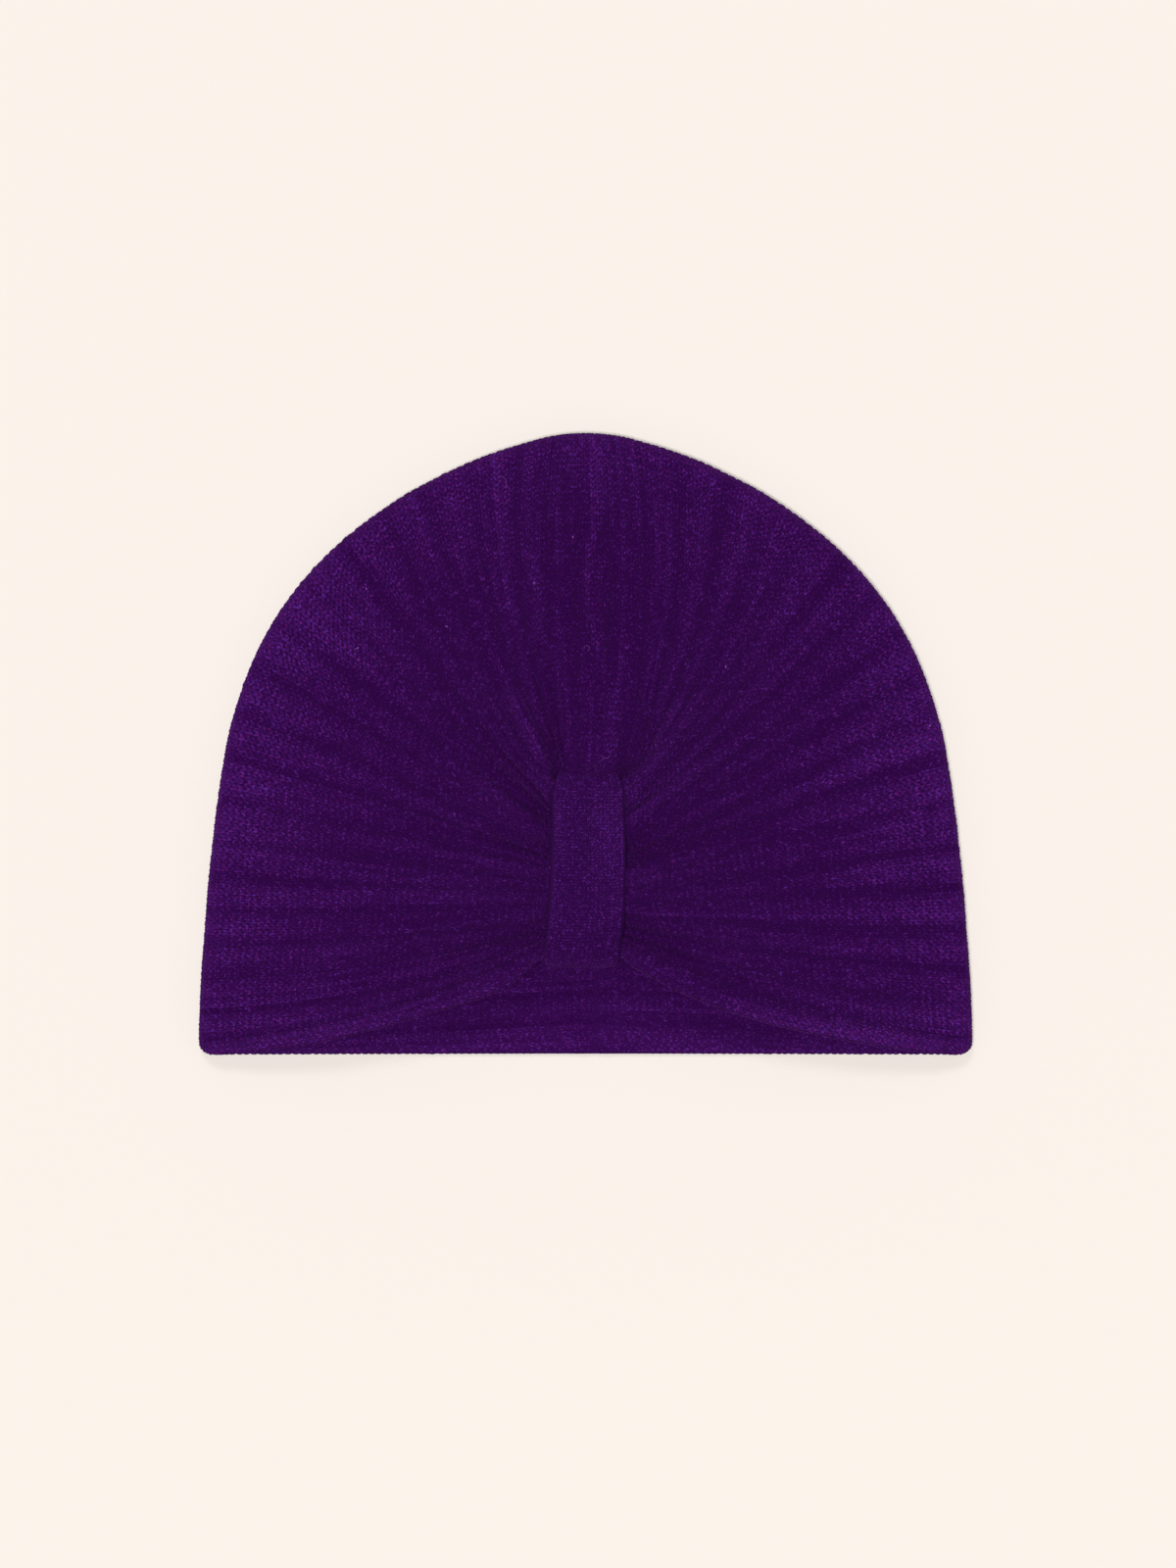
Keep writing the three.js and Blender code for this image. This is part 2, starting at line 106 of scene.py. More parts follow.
# The front hem arches up from both corners to the strap's foot: share, x, y.
ARCH_LEFT = np.array((
    (0, -11.5, -67.8), (0.035, -15.6, -69.8), (0.1, -24.5, -77.9), (0.2, -34.0, -82.0),
    (0.34, -49.8, -86.4), (0.48, -65.7, -91.2), (0.64, -84.7, -95.9), (0.82, -105.2, -99.1),
    (1, -120.9, HEM_Y),
))
ARCH_RIGHT = np.array((
    (0, 11.0, -67.8), (0.05, 15.5, -71.8), (0.15, 29.3, -79.4), (0.29, 45.1, -85.8),
    (0.43, 60.9, -90.5), (0.52, 70.4, -92.7), (0.66, 86.2, -95.9), (0.8, 100.5, -98.4),
    (1, 120.9, HEM_Y),
))

# Sections from the strap (0) to the fold (1): share, height of the cloth's middle beside the strap
# and at the lip above it, thickness over and under the middle, under it at the lip, and how much
# of a groove's sink shows.
SECTIONS = np.array((
    (0, 22.5, 26.2, 3.0, 4.4, 1.6, 0.3), (0.03, 23.8, 27.0, 3.0, 4.5, 2.0, 0.8),
    (0.08, 25.2, 27.1, 2.9, 4.2, 2.4, 1.0), (0.16, 25.5, 26.4, 2.6, 3.4, 2.4, 0.85),
    (0.28, 24.5, 24.9, 2.2, 2.5, 2.2, 0.55), (0.42, 22.7, 22.9, 1.9, 1.9, 1.8, 0.28),
    (0.58, 20.2, 20.4, 1.7, 1.6, 1.6, 0.1), (0.74, 17.0, 17.1, 1.6, 1.4, 1.4, 0.0),
    (0.88, 13.4, 13.4, 1.6, 1.4, 1.4, 0.0),
    (1, FRONT_EDGE_Z, FRONT_EDGE_Z, CREST_OVER, CREST_UNDER, CREST_UNDER, 0.0),
))
SECTION_COLUMNS = {"side": 1, "lip": 2, "over": 3, "under": 4, "lip_under": 5, "fold": 6}

# The strap's loop: y, z, left edge, right edge.
STRAP = np.array((
    (-10.3, 25.9, -9.6, 11.2), (-13.2, 27.4, -10.9, 12.4), (-19.0, 28.0, -10.9, 12.6),
    (-31.0, 28.4, -10.9, 13.0), (-45.0, 28.4, -11.4, 13.0), (-58.0, 28.0, -12.3, 12.3),
    (-65.5, 27.4, -13.4, 11.2), (-69.5, 25.8, -13.9, 11.1), (-70.8, 22.4, -13.4, 10.9),
    (-69.7, 19.0, -11.2, 9.8), (-65.5, 16.9, -10.2, 9.6), (-50.0, 16.4, -9.4, 9.6),
    (-30.0, 16.4, -9.4, 10.0), (-15.0, 16.8, -9.4, 10.6), (-10.2, 18.4, -9.4, 10.8),
    (-8.9, 22.2, -9.4, 11.0),
))
STRAP_THICKNESS, STRAP_EDGE_DROP, JERSEY_RELIEF = 1.8, 1.3, 0.3
# The width over which the strap's stitches are counted, the share of it that stays free at each
# edge, and the share that they cover.
STRAP_WIDTH, STRAP_MARGIN, STRAP_COVER = 23.0, 0.035, 0.93

# The valleys and ridges that the strap draws into the front, which also get painted shade and
# painted highlight in the yarn's colour: x and y of both ends, width, and height over the cloth
# round it (below 0 for a valley).
FOLDS = np.array((
    (-13.0, -24.0, -33.0, -5.0, 3.4, -3.2), (-9.4, -10.0, -10.2, 17.0, 2.6, -2.6),
    (-12.0, -33.5, -46.0, -31.0, 3.0, -2.4), (-13.5, -59.5, -42.0, -66.0, 3.8, -2.8),
    (12.0, -10.0, 12.6, 8.0, 2.6, -2.4), (14.5, -31.5, 34.0, -17.0, 2.2, -1.8),
    (15.0, -36.0, 58.0, -27.0, 4.2, -3.0), (14.0, -59.0, 46.0, -77.0, 4.6, -3.4),
    (-9.6, -16.0, -22.0, 14.0, 3.2, 2.4), (-13.5, -28.0, -32.0, -12.0, 2.4, 1.6),
    (14.7, -17.0, 31.0, 11.0, 3.6, 2.4), (15.5, -25.0, 36.0, -6.0, 2.6, 1.6),
    (15.5, -43.0, 20.0, -43.0, 4.0, 1.8), (17.0, -68.0, 62.0, -88.0, 3.4, 1.6),
    (62.0, -88.0, 112.0, -98.0, 3.4, 1.8), (-17.0, -68.0, -44.0, -82.0, 2.8, 1.4),
    (-44.0, -82.0, -85.0, -92.0, 3.0, 1.0), (1.0, 56.0, 5.5, 28.0, 1.8, 1.3),
    (-16.5, 32.0, -19.0, 52.0, 1.8, 0.9), (6.0, 72.0, 7.0, 62.0, 2.4, -0.9),
    (9.5, 46.0, 10.5, 32.0, 2.4, -0.8), (-2.5, 50.0, -1.0, 38.0, 2.0, -0.6),
    (15.0, 74.0, 16.0, 66.0, 2.2, -0.9), (-48.0, 2.0, -62.0, 14.0, 3.0, -0.9),
    (5.0, -6.0, 8.0, 2.0, 3.0, 1.2),
))

# Runs of painted highlight along wales on the crown and bands of painted shade between them,
# which only colour the yarn: x and y of both ends, width, and how much lighter they are (below 0 for
# darker).
PAINTED_LIGHT_RUNS = np.array((
    (2.9, 94.2, 3.7, 84.3, 1.3, 0.3), (3.7, 84.3, 2.9, 71.2, 1.3, 0.34),
    (2.9, 71.2, -0.1, 54.7, 1.2, 0.5), (-0.1, 54.7, 0.1, 43.1, 1.2, 0.65),
    (0.1, 43.1, 3.7, 31.6, 1.3, 0.58), (3.7, 31.6, 7.0, 21.7, 1.2, 0.42),
    (7.0, 21.7, 7.0, 5.2, 1.3, 0.26), (-16.0, 74.5, -17.7, 61.3, 1.3, 0.12),
    (-17.7, 61.3, -16.0, 49.7, 1.2, 0.42), (-16.0, 49.7, -15.2, 38.2, 1.2, 0.38),
    (-15.2, 38.2, -10.3, 26.6, 1.3, 0.26), (-10.3, 26.6, -7.8, 11.8, 1.3, 0.24),
    (-6.2, 18.4, -5.3, -1.4, 1.0, 0.2), (5.5, 72.0, 7.5, 55.0, 1.7, -0.28),
    (-11.5, 66.0, -8.5, 34.0, 2.4, -0.2), (11.5, 56.0, 15.0, 28.0, 2.2, -0.18),
    (13.5, 12.0, 12.0, -3.0, 1.6, -0.3), (-11.5, 16.0, -11.0, -3.0, 1.4, -0.26),
))

# Soft areas of painted light and shade on the front and on the strap, which only colour the yarn.
# They were set until the brightness seen from above was close to the photograph's: x, y, reach
# across and up, and how much lighter they are (below 0 for darker).
PAINTED_PATCHES = (
    (-112.0, -15.0, 30.0, 50.0, 0.36), (112.0, -15.0, 30.0, 48.0, 0.3),
    (-90.0, 50.0, 22.0, 28.0, 0.3), (0.0, 44.0, 36.0, 42.0, -0.2),
    (-90.0, -94.0, 34.0, 9.0, 0.34), (90.0, -94.0, 34.0, 9.0, 0.34),
    (0.0, 90.0, 12.0, 9.0, 0.14), (15.0, 3.0, 7.0, 8.0, -0.24),
)
PAINTED_STRAP_PATCHES = (
    (7.8, -28.0, 5.0, 11.0, 0.5), (-8.0, -20.0, 4.5, 11.0, 0.2), (-3.0, -36.0, 4.5, 16.0, -0.2),
)

# Loose fibres and lint on the front: x, y, length, turn of the curl in half circles, and lift.
FIBRES = (
    (-44.6, 37.3, 0.9, 0.6, 0.2), (-73.3, 30.7, 0.8, 0.4, 0.2), (-70.6, 49.7, 0.8, 0.5, 0.2),
    (44.6, 24.6, 0.9, 0.8, 0.1), (110.8, 5.9, 0.8, 0.4, 0.2), (-16.6, 51.5, 0.7, 0.5, 0.1),
    (-4.2, 66.2, 0.7, 0.6, 0.1), (-27.6, 83.8, 6.0, 0.9, 0.7), (-0.2, 29.8, 4.2, 1.5, 0.6),
    (6.5, -3.6, 3.6, 0.8, 0.8),
)
FIBRE_SIDES, FIBRE_RADIUS, SPECK_RADIUS = 5, 0.05, 0.19

# How finely the cloth is drawn, and how much finer the rows are that its stitches follow.
COLUMNS_PER_RIB, WALES_PER_RIB = 10, 6
FRONT_ROWS, FOLD_ROWS, BACK_ROWS = 52, 10, 26
PATH_DETAIL = 3
# Widths of a groove and of a pleat by the strap, in ribs, and how far the fold bulges.
GROOVE_WIDTH, PLEAT_WIDTH, FOLD_FULLNESS = 0.2, 0.3, 0.4
# The stitches: their pitch along a wale, a count of them that no wale reaches, how far in the
# hem's own column lies, in ribs, and how far they stray, as a share of their width.
COURSE_AT_HEM, COURSE_AT_CROWN = 2.25, 1.8
MOST_COURSES = 80
HEM_INSET, LOOSENESS = 0.035, 0.045
# The two legs of a stitch, as shares of its width and length: how wide and long they are and how
# far from its middle they stand. Their lean is in radians.
RIB_LEGS = {"Leg Width": 0.53, "Leg Length": 1.35, "Lean": 0.32, "Spread": 0.24}
JERSEY_LEGS = {"Leg Width": 0.42, "Leg Length": 1.25, "Lean": 0.36, "Spread": 0.21}
# Lightness: the limits of a stitch's, and that of the plain cloth inside.
SHADE_LIMITS, INSIDE_SHADE = (0.02, 1.2), 0.75
# The rows of the knit map where the ribs run on under the strap.
BRIDGE_COURSES = np.array(((12, 8, 4, 0),))
# One fixed seed for each thing that varies. The rib knit's five pieces count on from theirs.
SEEDS = {"laid": 3, "strap": 5, "cloth": 8, "ribs": 11, "fibres": 17, "wales": 21, "hem": 31,
         "loose": 41}

# The stage: the floor just under the lowest stitches and how far it reaches, the picture's height
# in pixels and the size of one, and the point that the camera looks at.
FLOOR_Z, FLOOR_REACH = -0.12, 4000.0
VIEW_PIXELS, MM_PER_PIXEL = 1600, 0.3165
VIEW_CENTRE = (0.8, -13.0, 6.0)
# The lamps: name, share of the light from above, spread, and tilt about x and about y in degrees.
LAMPS = (("key", 0.86, 14, 5, -4), ("fill", 0.14, 12, -28, -6))


def mix(a, b, t):
    return a + (b - a) * t


def ramp(value, low, high):
    return np.clip((value - low) / (high - low), 0, 1)


def bump(value, middle, reach):
    return np.exp(-(((value - middle) / reach) ** 2))


def up_from_hem(line):
    """How many ribs a line lies above the nearer end of the hem."""
    return np.minimum(line, RIBS - line)


def smooth_column(rows, share, column):
    """A table's column at any share, by a cubic curve that doesn't overshoot its rows."""
    at, value = rows[:, 0], rows[:, column]
    slope = np.diff(value) / np.diff(at)
    tangent = np.concatenate([slope[:1], (slope[1:] + slope[:-1]) / 2, slope[-1:]])
    tangent[1:-1][slope[1:] * slope[:-1] <= 0] = 0
    i = np.clip(np.searchsorted(at, share, side="right") - 1, 0, len(at) - 2)
    width = at[i + 1] - at[i]
    t = (share - at[i]) / width
    return (
        value[i] * (1 + 2 * t) * (1 - t) ** 2
        + value[i + 1] * t**2 * (3 - 2 * t)
        + width * (tangent[i] * t * (1 - t) ** 2 - tangent[i + 1] * t**2 * (1 - t))
    )


def table_point(rows, share):
    return np.stack([np.interp(share, rows[:, 0], rows[:, c]) for c in (1, 2)], -1)


def smooth_curve(points, steps, closed=False):
    """Points along a centripetal Catmull-Rom curve, steps to each span."""
    points = np.asarray(points, float)
    before, after = 2 * points[:1] - points[1:2], 2 * points[-1:] - points[-2:-1]
    if closed:
        before, after = points[-1:], points[:2]
    padded = np.vstack([before, points, after])
    t = np.linspace(0, 1, steps, endpoint=False)[:, None]
    spans = []
    for a, b, c, d in zip(padded, padded[1:], padded[2:], padded[3:]):
        ab, bc, cd = (np.linalg.norm(q - p) ** 0.5 for p, q in ((a, b), (b, c), (c, d)))
        leave = ((b - a) / ab - (c - a) / (ab + bc) + (c - b) / bc) * bc
        reach = ((c - b) / bc - (d - b) / (bc + cd) + (d - c) / cd) * bc
        cubic = 2 * (b - c) + leave + reach
        spans.append(b + leave * t + (3 * (c - b) - 2 * leave - reach) * t**2 + cubic * t**3)
    if not closed:
        spans.append(points[-1:])
    return np.vstack(spans)


def lengths_along(points):
    """The way along rows of points, from 0 at the first."""
    steps = np.linalg.norm(np.diff(points, axis=-2), axis=-1)
    start = np.zeros(steps.shape[:-1] + (1,))
    return np.concatenate([start, np.cumsum(steps, -1)], -1)


def outline_points():
    left = [(-half, y) for y, half in OUTLINE]
    right = [(half, y) for y, half in OUTLINE[-2::-1]]
    return smooth_curve(left + right, 40)


RIM = outline_points()
RIM_SHARE = lengths_along(RIM) / lengths_along(RIM)[-1]
RIM_ALONG = np.gradient(RIM, axis=0) / np.linalg.norm(np.gradient(RIM, axis=0), axis=1)[:, None]


def groove_value(line, name):
    return np.interp(line, np.arange(1, RIBS), GROOVES[:, GROOVE_COLUMNS[name]])


def rim_of(line):
    """Where a line crosses the outline, and the direction that faces out there."""
    share = groove_value(line, "rim")
    point = np.stack([np.interp(share, RIM_SHARE, RIM[:, c]) for c in (0, 1)], -1)
    along = np.stack([np.interp(share, RIM_SHARE, RIM_ALONG[:, c]) for c in (0, 1)], -1)
    out = np.stack([-along[..., 1], along[..., 0]], -1)
    past = np.clip(np.maximum(1 - line, line - (RIBS - 1)), 0, 1)
    side = np.where(line < RIBS / 2, -1.0, 1.0)
    turn = past * math.pi / 2
    corner = np.stack([
        side * (CORNER_X - CORNER_RADIUS * (1 - np.cos(turn))),
        CORNER_Y - CORNER_RADIUS * np.sin(turn),
    ], -1)
    sideways = np.stack([side, np.zeros_like(side)], -1)
    rounded = (past > 0)[..., None]
    return np.where(rounded, corner, point), np.where(rounded, sideways, out)


def groove_line(line, share):
    hub = table_point(HUB, groove_value(line, "hub"))
    rim, _ = rim_of(line)
    to_rim = rim - hub
    bow = groove_value(line, "bow") * 4 * share * (1 - share) / np.linalg.norm(to_rim, axis=-1)
    square = np.stack([-to_rim[..., 1], to_rim[..., 0]], -1)
    return mix(hub, rim, share[..., None]) + square * bow[..., None]


def front_plan(line, share):
    """A line's place on the front, seen from above: share 0 at the strap, 1 on the outline."""
    inner = groove_line(np.clip(line, 1, RIBS - 1), share)
    left = mix(table_point(ARCH_LEFT, share), inner, ramp(line, 0, 1)[..., None])
    right = mix(table_point(ARCH_RIGHT, share), inner, ramp(RIBS - line, 0, 1)[..., None])
    plan = np.where((line < 1)[..., None], left, inner)
    return np.where((line > RIBS - 1)[..., None], right, plan)


def fold_share(line):
    """The share at which a line comes within the fold's reach of the outline, by the slope of its
    last stretch."""
    rim, out = rim_of(line)
    stretch = 0.15
    before = front_plan(line, np.full_like(line, 1 - stretch))
    reach = ((rim - before) * out).sum(-1)
    return 1 - stretch * (FOLD_RADIUS + CREST_OVER) / reach


def seam_point(line):
    up = up_from_hem(line)
    rise = np.where(up < 1, up * SEAM_FIRST_RIB, SEAM_FIRST_RIB + (up - 1) * SEAM_PITCH)
    return np.stack([np.full_like(rise, SEAM_X), HEM_Y + rise], -1)


def lip_share(line):
    top = STRAP_TOP_LINE
    return ramp(line, top, top + 1) * ramp(RIBS - line, top, top + 1)


def hem_share(line):
    """The cloth thins towards the hems, whose edges are round."""
    inside = up_from_hem(line)
    edge = np.sqrt(1 - (1 - ramp(inside, 0, 0.14)) ** 2)
    return mix(HEM_TAPER, 1, ramp(inside, 0, 0.7)) * mix(0.3, 1, edge)


def groove_shape(line, width):
    """1 in the middle of a groove and 0 on the crests; the hems have none."""
    nearest = np.round(line)
    return np.where((nearest > 0) & (nearest < RIBS), bump(line, nearest, width), 0)


def slow_waves(line, way, seed, reach=1.0):
    """Soft unevenness of hand-laid cloth, between about -1 and 1."""
    dice = np.random.default_rng(seed)
    total, waves = np.zeros(np.broadcast(line, way).shape), 7
    for _ in range(waves):
        across, along = dice.uniform(0.25, 1.3) * reach, dice.uniform(0.5, 3.5) * reach
        phase = dice.uniform(0, 2 * math.pi)
        total += np.sin(across * line + along * way * math.pi + phase) / waves * 1.6
    return total


def drawn_rows(plan, rows):
    """What the rows of FOLDS or PAINTED_LIGHT_RUNS add at each place. Those above 0 run on into each other, and
    those below 0 add up and fade towards their second end."""
    sunk, raised = np.zeros(plan.shape[:-1]), np.zeros(plan.shape[:-1])
    for x0, y0, x1, y1, width, rise in rows:
        start, along = np.array((x0, y0)), np.array((x1 - x0, y1 - y0))
        share = ((plan - start) @ along) / (along @ along)
        near = plan - start - along * np.clip(share, 0, 1)[..., None]
        height = rise * np.exp(-(near**2).sum(-1) / width**2)
        if rise < 0:
            sunk += height * (1 - 0.6 * np.clip(share, 0, 1))
        else:
            raised = np.maximum(raised, height)
    return sunk + raised


def groove_fade(line, share=1.0):
    """Grooves fade towards the outline of the crown, where the cloth is stretched, and beside
    the strap, where the pleats take them up."""
    crown = ramp(up_from_hem(line), 9, 15)
    return (1 - mix(0.1, 0.6, crown) * ramp(share, 0.6, 0.98)) * mix(0.4, 1, ramp(share, 0, 0.4))


def back_groove_fade(line, share):
    return mix(groove_fade(line), 1.0, ramp(share, 0, 0.35))


def tucked(plan, line, share):
    """The cloth laps onto the strap's end at the lip and closes in at the corners of the slot that
    the strap goes into, which are two of HUB's rows."""
    plan = plan.copy()
    plan[..., 1] -= 3.0 * lip_share(line) * bump(share, 0, 0.04)
    for (x, y), shift in ((HUB[4, 1:], 4.2), (HUB[8, 1:], -4.4)):
        corner = (plan[..., 0] - x) ** 2 + (plan[..., 1] - y) ** 2
        plan[..., 0] += shift * np.exp(-corner / 4.6**2) * bump(share, 0, 0.08)
    return plan


class Relief:
    """How deep the grooves lie and how far the stitches stand out, in millimetres."""

    def __init__(self, settings):
        self.groove = settings.groove_depth / MM
        self.stitch = settings.stitch_relief / MM
        self.uneven = settings.unevenness / MM


def front_zone(line, share, relief):
    fold_at = fold_share(line)
    plan = tucked(front_plan(line, share * fold_at), line, share)
    lip, hem = lip_share(line), hem_share(line)
    at = {name: smooth_column(SECTIONS, share, c) for name, c in SECTION_COLUMNS.items()}
    height = mix(at["side"], at["lip"], lip)
    narrow, broad = groove_shape(line, GROOVE_WIDTH), groove_shape(line, PLEAT_WIDTH)
    sink = groove_value(line, "sink") * at["fold"] * 0.7
    wave = slow_waves(line, share, SEEDS["laid"]) * ramp(share, 0.05, 0.25) * ramp(1 - share, 0, 0.2)
    groove = relief.groove * narrow * groove_fade(line, share)
    over = at["over"] * hem - relief.stitch - groove - sink * broad
    over = over + relief.uneven * wave
    over = over + drawn_rows(plan, FOLDS) + mix(1.0, -2.6, lip) * bump(share, 0, 0.03)
    over = np.maximum(over, 0.3 - at["under"] * 0.8)
    under = mix(at["under"], at["lip_under"], lip) * hem - 0.4 * narrow * ramp(share, 0.1, 0.4)
    middle = np.concatenate([plan, height[..., None]], -1)
    return middle, np.broadcast_to((0.0, 0.0, 1.0), middle.shape), over, under


def rim_to_seam(line):
    """Both ends of a line's way over the back, which way is out at the first, and how far in the
    second lies from it."""
    (rim, out), seam = rim_of(line), seam_point(line)
    return rim, seam, out, ((rim - seam) * out).sum(-1)


def fold_zone(line, angle, relief):
    rim, seam, out, to_seam = rim_to_seam(line)
    inset = CREST_OVER + FOLD_RADIUS * (1 - np.sin(angle))
    start = front_plan(line, fold_share(line))
    upper = mix(rim, start, (inset / (CREST_OVER + FOLD_RADIUS))[..., None])
    lower = mix(rim, seam, (inset / to_seam)[..., None])
    plan = np.where((angle <= math.pi / 2)[..., None], upper, lower)
    height = BACK_Z + FOLD_RADIUS * (1 + np.cos(angle))
    outward = np.concatenate([out * np.sin(angle)[..., None], np.cos(angle)[..., None]], -1)
    depth = groove_fade(line) * groove_shape(line, GROOVE_WIDTH)
    depth = depth * mix(1, 0.08, np.sin(angle))
    hem = hem_share(line)
    crown = ramp(up_from_hem(line), 6, 16)
    full = mix(FOLD_FULLNESS, FOLD_FULLNESS / 3, crown) * np.sin(angle)
    over = CREST_OVER * hem - relief.stitch - relief.groove * depth + full
    under = CREST_UNDER * hem - 0.4 * depth
    return np.concatenate([plan, height[..., None]], -1), outward, over, under


def back_zone(line, share, relief):
    rim, seam, _, to_seam = rim_to_seam(line)
    start = mix(rim, seam, ((CREST_OVER + FOLD_RADIUS) / to_seam)[..., None])
    plan = mix(start, seam, share[..., None])
    middle = np.concatenate([plan, np.full(share.shape + (1,), BACK_Z)], -1)
    narrow, hem = groove_shape(line, GROOVE_WIDTH), hem_share(line)
    pucker = 0.9 * bump(np.linalg.norm(seam - plan, axis=-1), 3.2, 1.6)
    groove = relief.groove * narrow * back_groove_fade(line, share)
    over = CREST_OVER * hem - relief.stitch - groove - pucker
    under = CREST_UNDER * hem - relief.stitch - 0.5 * relief.groove * narrow
    return middle, np.broadcast_to((0.0, 0.0, -1.0), middle.shape), over, under


def course_pitch(line):
    """Stitches are shorter at the crown, where the ribs are stretched wide."""
    return mix(COURSE_AT_HEM, COURSE_AT_CROWN, ramp(up_from_hem(line), 8, 18))


def cloth(line, relief, detail=1):
    """Both faces of the cloth along each line, from the strap over the fold to the back seam."""
    share = np.linspace(0, 1, FRONT_ROWS * detail) ** 1.2
    angle = np.linspace(0, math.pi, FOLD_ROWS * detail + 1)[1:]
    back = np.linspace(0, 1, BACK_ROWS * detail + 1)[1:]
    zones = []
    for zone, rows in ((front_zone, share), (fold_zone, angle), (back_zone, back)):
        grid = np.broadcast_arrays(np.asarray(line, float)[:, None], rows[None, :])
        zones.append(zone(*grid, relief))
    middle, out, over, under = (np.concatenate(parts, 1) for parts in zip(*zones))
    return middle + out * over[..., None], middle - out * under[..., None]


def way_from_outline(paths, detail=1):
    """The way along each path, counted from where it crosses the outline."""
    way = lengths_along(paths)
    outline_row = (FRONT_ROWS + FOLD_ROWS // 2) * detail - 1
    return way - way[:, outline_row : outline_row + 1]


def painted_outline_light(points):
    """Painted light where fuzz catches more light towards the outline and the hem: 0 inside, 1 at the
    edge.
    """
    x, y = points[..., 0], points[..., 1]
    away = np.full(x.shape, np.inf)
    for rim_x, rim_y in RIM[::8]:
        away = np.minimum(away, (x - rim_x) ** 2 + (y - rim_y) ** 2)
    hem = np.exp(-np.maximum(y - HEM_Y, 0) / 10)
    return np.clip(np.maximum(np.exp(-np.sqrt(away) / 20), hem), 0, 1)


def wale_streaks(line, way):
    """Each wale is lighter or darker than its neighbours, in stretches along its length."""
    dice, wales = np.random.default_rng(SEEDS["wales"]), RIBS * WALES_PER_RIB + 2
    at = np.clip(np.round(line * WALES_PER_RIB).astype(int), 0, wales - 1)
    total = np.zeros(np.broadcast(line, way).shape)
    for waves in (0.7, 2.0, 5.0):
        size, phase = dice.normal(0, 1, wales), dice.uniform(0, 2 * math.pi, wales)
        total = total + size[at] * np.sin(waves * math.pi * way + phase[at]) / math.sqrt(waves)
    return total / 2


def painted_groove_shade(line, way):
    """Painted shade in the front's grooves: crisp and deep at the sides, broad and faint at the
    crown, and fainter by the strap. No two are alike."""
    crown = ramp(up_from_hem(line), 12, 18)
    sides = mix(0.2, 0.46, ramp(way, 0.2, 0.8)) * groove_shape(line, 0.22)
    top = mix(0.08, 0.15, ramp(way, 0.1, 0.4)) * groove_shape(line, 0.36)
    uneven = 1 + 0.3 * np.sin(np.round(line) * 2.4 + 2.2 * way * math.pi)
    return mix(sides, top, crown) * uneven


# Painted light and shade: the sum of soft areas from a table's rows.
def painted_patches(points, rows):
    x, y = points[..., 0], points[..., 1]
    light = np.zeros(x.shape)
    for middle_x, middle_y, reach_x, reach_y, amount in rows:
        light += amount * bump(x, middle_x, reach_x) * bump(y, middle_y, reach_y)
    return light


def cloth_shade(points, line, way, side):
    """How much lighter or darker than plain yarn the cloth's front, back or inside is: random tone,
    painted light towards the outline and hem, painted shade in the grooves, and on the front painted
    light and shade over the folds, runs and soft areas.
    """
    # Painted light towards the outline and the hem, with random streaks and waves of tone.
    shade = 0.46 * painted_outline_light(points) - 0.1 + 0.23 * wale_streaks(line, way)
    shade = shade + 0.05 * slow_waves(line, way, SEEDS["cloth"], 2.0)
    if side == "inside":
        # Painted shade in the inside's grooves.
        return shade + 0.03 - 0.45 * groove_shape(line, 0.13)
    if side == "back":
        # Painted shade in the back's grooves.
        return shade - 0.3 * groove_shape(line, 0.28) * back_groove_fade(line, way)
    plan = points[..., :2]
    # Painted light and shade of the runs, painted highlight on the folds' ridges and painted shade in
    # their valleys.
    shade = shade + drawn_rows(plan, PAINTED_LIGHT_RUNS) + 0.12 * np.clip(drawn_rows(plan, FOLDS), -3, 2.4)
    # Painted light on the front towards the hem.
    hem = 0.26 * np.exp(-np.maximum(points[..., 1] - HEM_Y, 0) / 14)
    # Painted light and shade of soft areas, and painted shade in the grooves.
    return shade + painted_patches(points, PAINTED_PATCHES) + hem - painted_groove_shade(line, way)


def new_object(name, data):
    made = bpy.data.objects.new(name, data)
    bpy.context.scene.collection.objects.link(made)
    return made


def new_piece(name, points, faces, material=None, smooth=True):
    """A mesh object from millimetre points and a list of faces, with its place in its mesh."""
    mesh = bpy.data.meshes.new(name)
    mesh.from_pydata((np.asarray(points) * MM).tolist(), [], faces)
    if material:
        mesh.materials.append(material)
    mesh.update()
    if smooth:
        mesh.shade_smooth()
    return new_object(name, mesh)


def put_attribute(mesh, name, values):
    values = np.asarray(values, np.float32)
    kind = "FLOAT" if values.ndim == 1 else "FLOAT_VECTOR"
    attribute = mesh.attributes.new(name, kind, "POINT")
    attribute.data.foreach_set("value" if values.ndim == 1 else "vector", values.ravel())


def put_uv(mesh, corners):
    layer = mesh.uv_layers.new(name="knit")
    layer.data.foreach_set("uv", np.asarray(corners, np.float32).ravel())


def open_edges(faces):
    """Edges that only one of the faces has, in the direction that the face runs."""
    start, end = faces.ravel(), np.roll(faces, -1, axis=1).ravel()
    base = int(faces.max()) + 1
    code, twin = start.astype(np.int64) * base + end, end.astype(np.int64) * base + start
    alone = ~np.isin(code, twin)
    return start[alone], end[alone]


def add_node(tree, kind, settings=None, sockets=None):
    """A node with its settings. A socket takes a plain value or a wire from another node."""
    node = tree.nodes.new(kind)
    for name, value in (settings or {}).items():
        setattr(node, name, value)
    for name, value in (sockets or {}).items():
        if isinstance(value, Wire):
            tree.links.new(value.socket, node.inputs[name])
        else:
            node.inputs[name].default_value = value
    return node


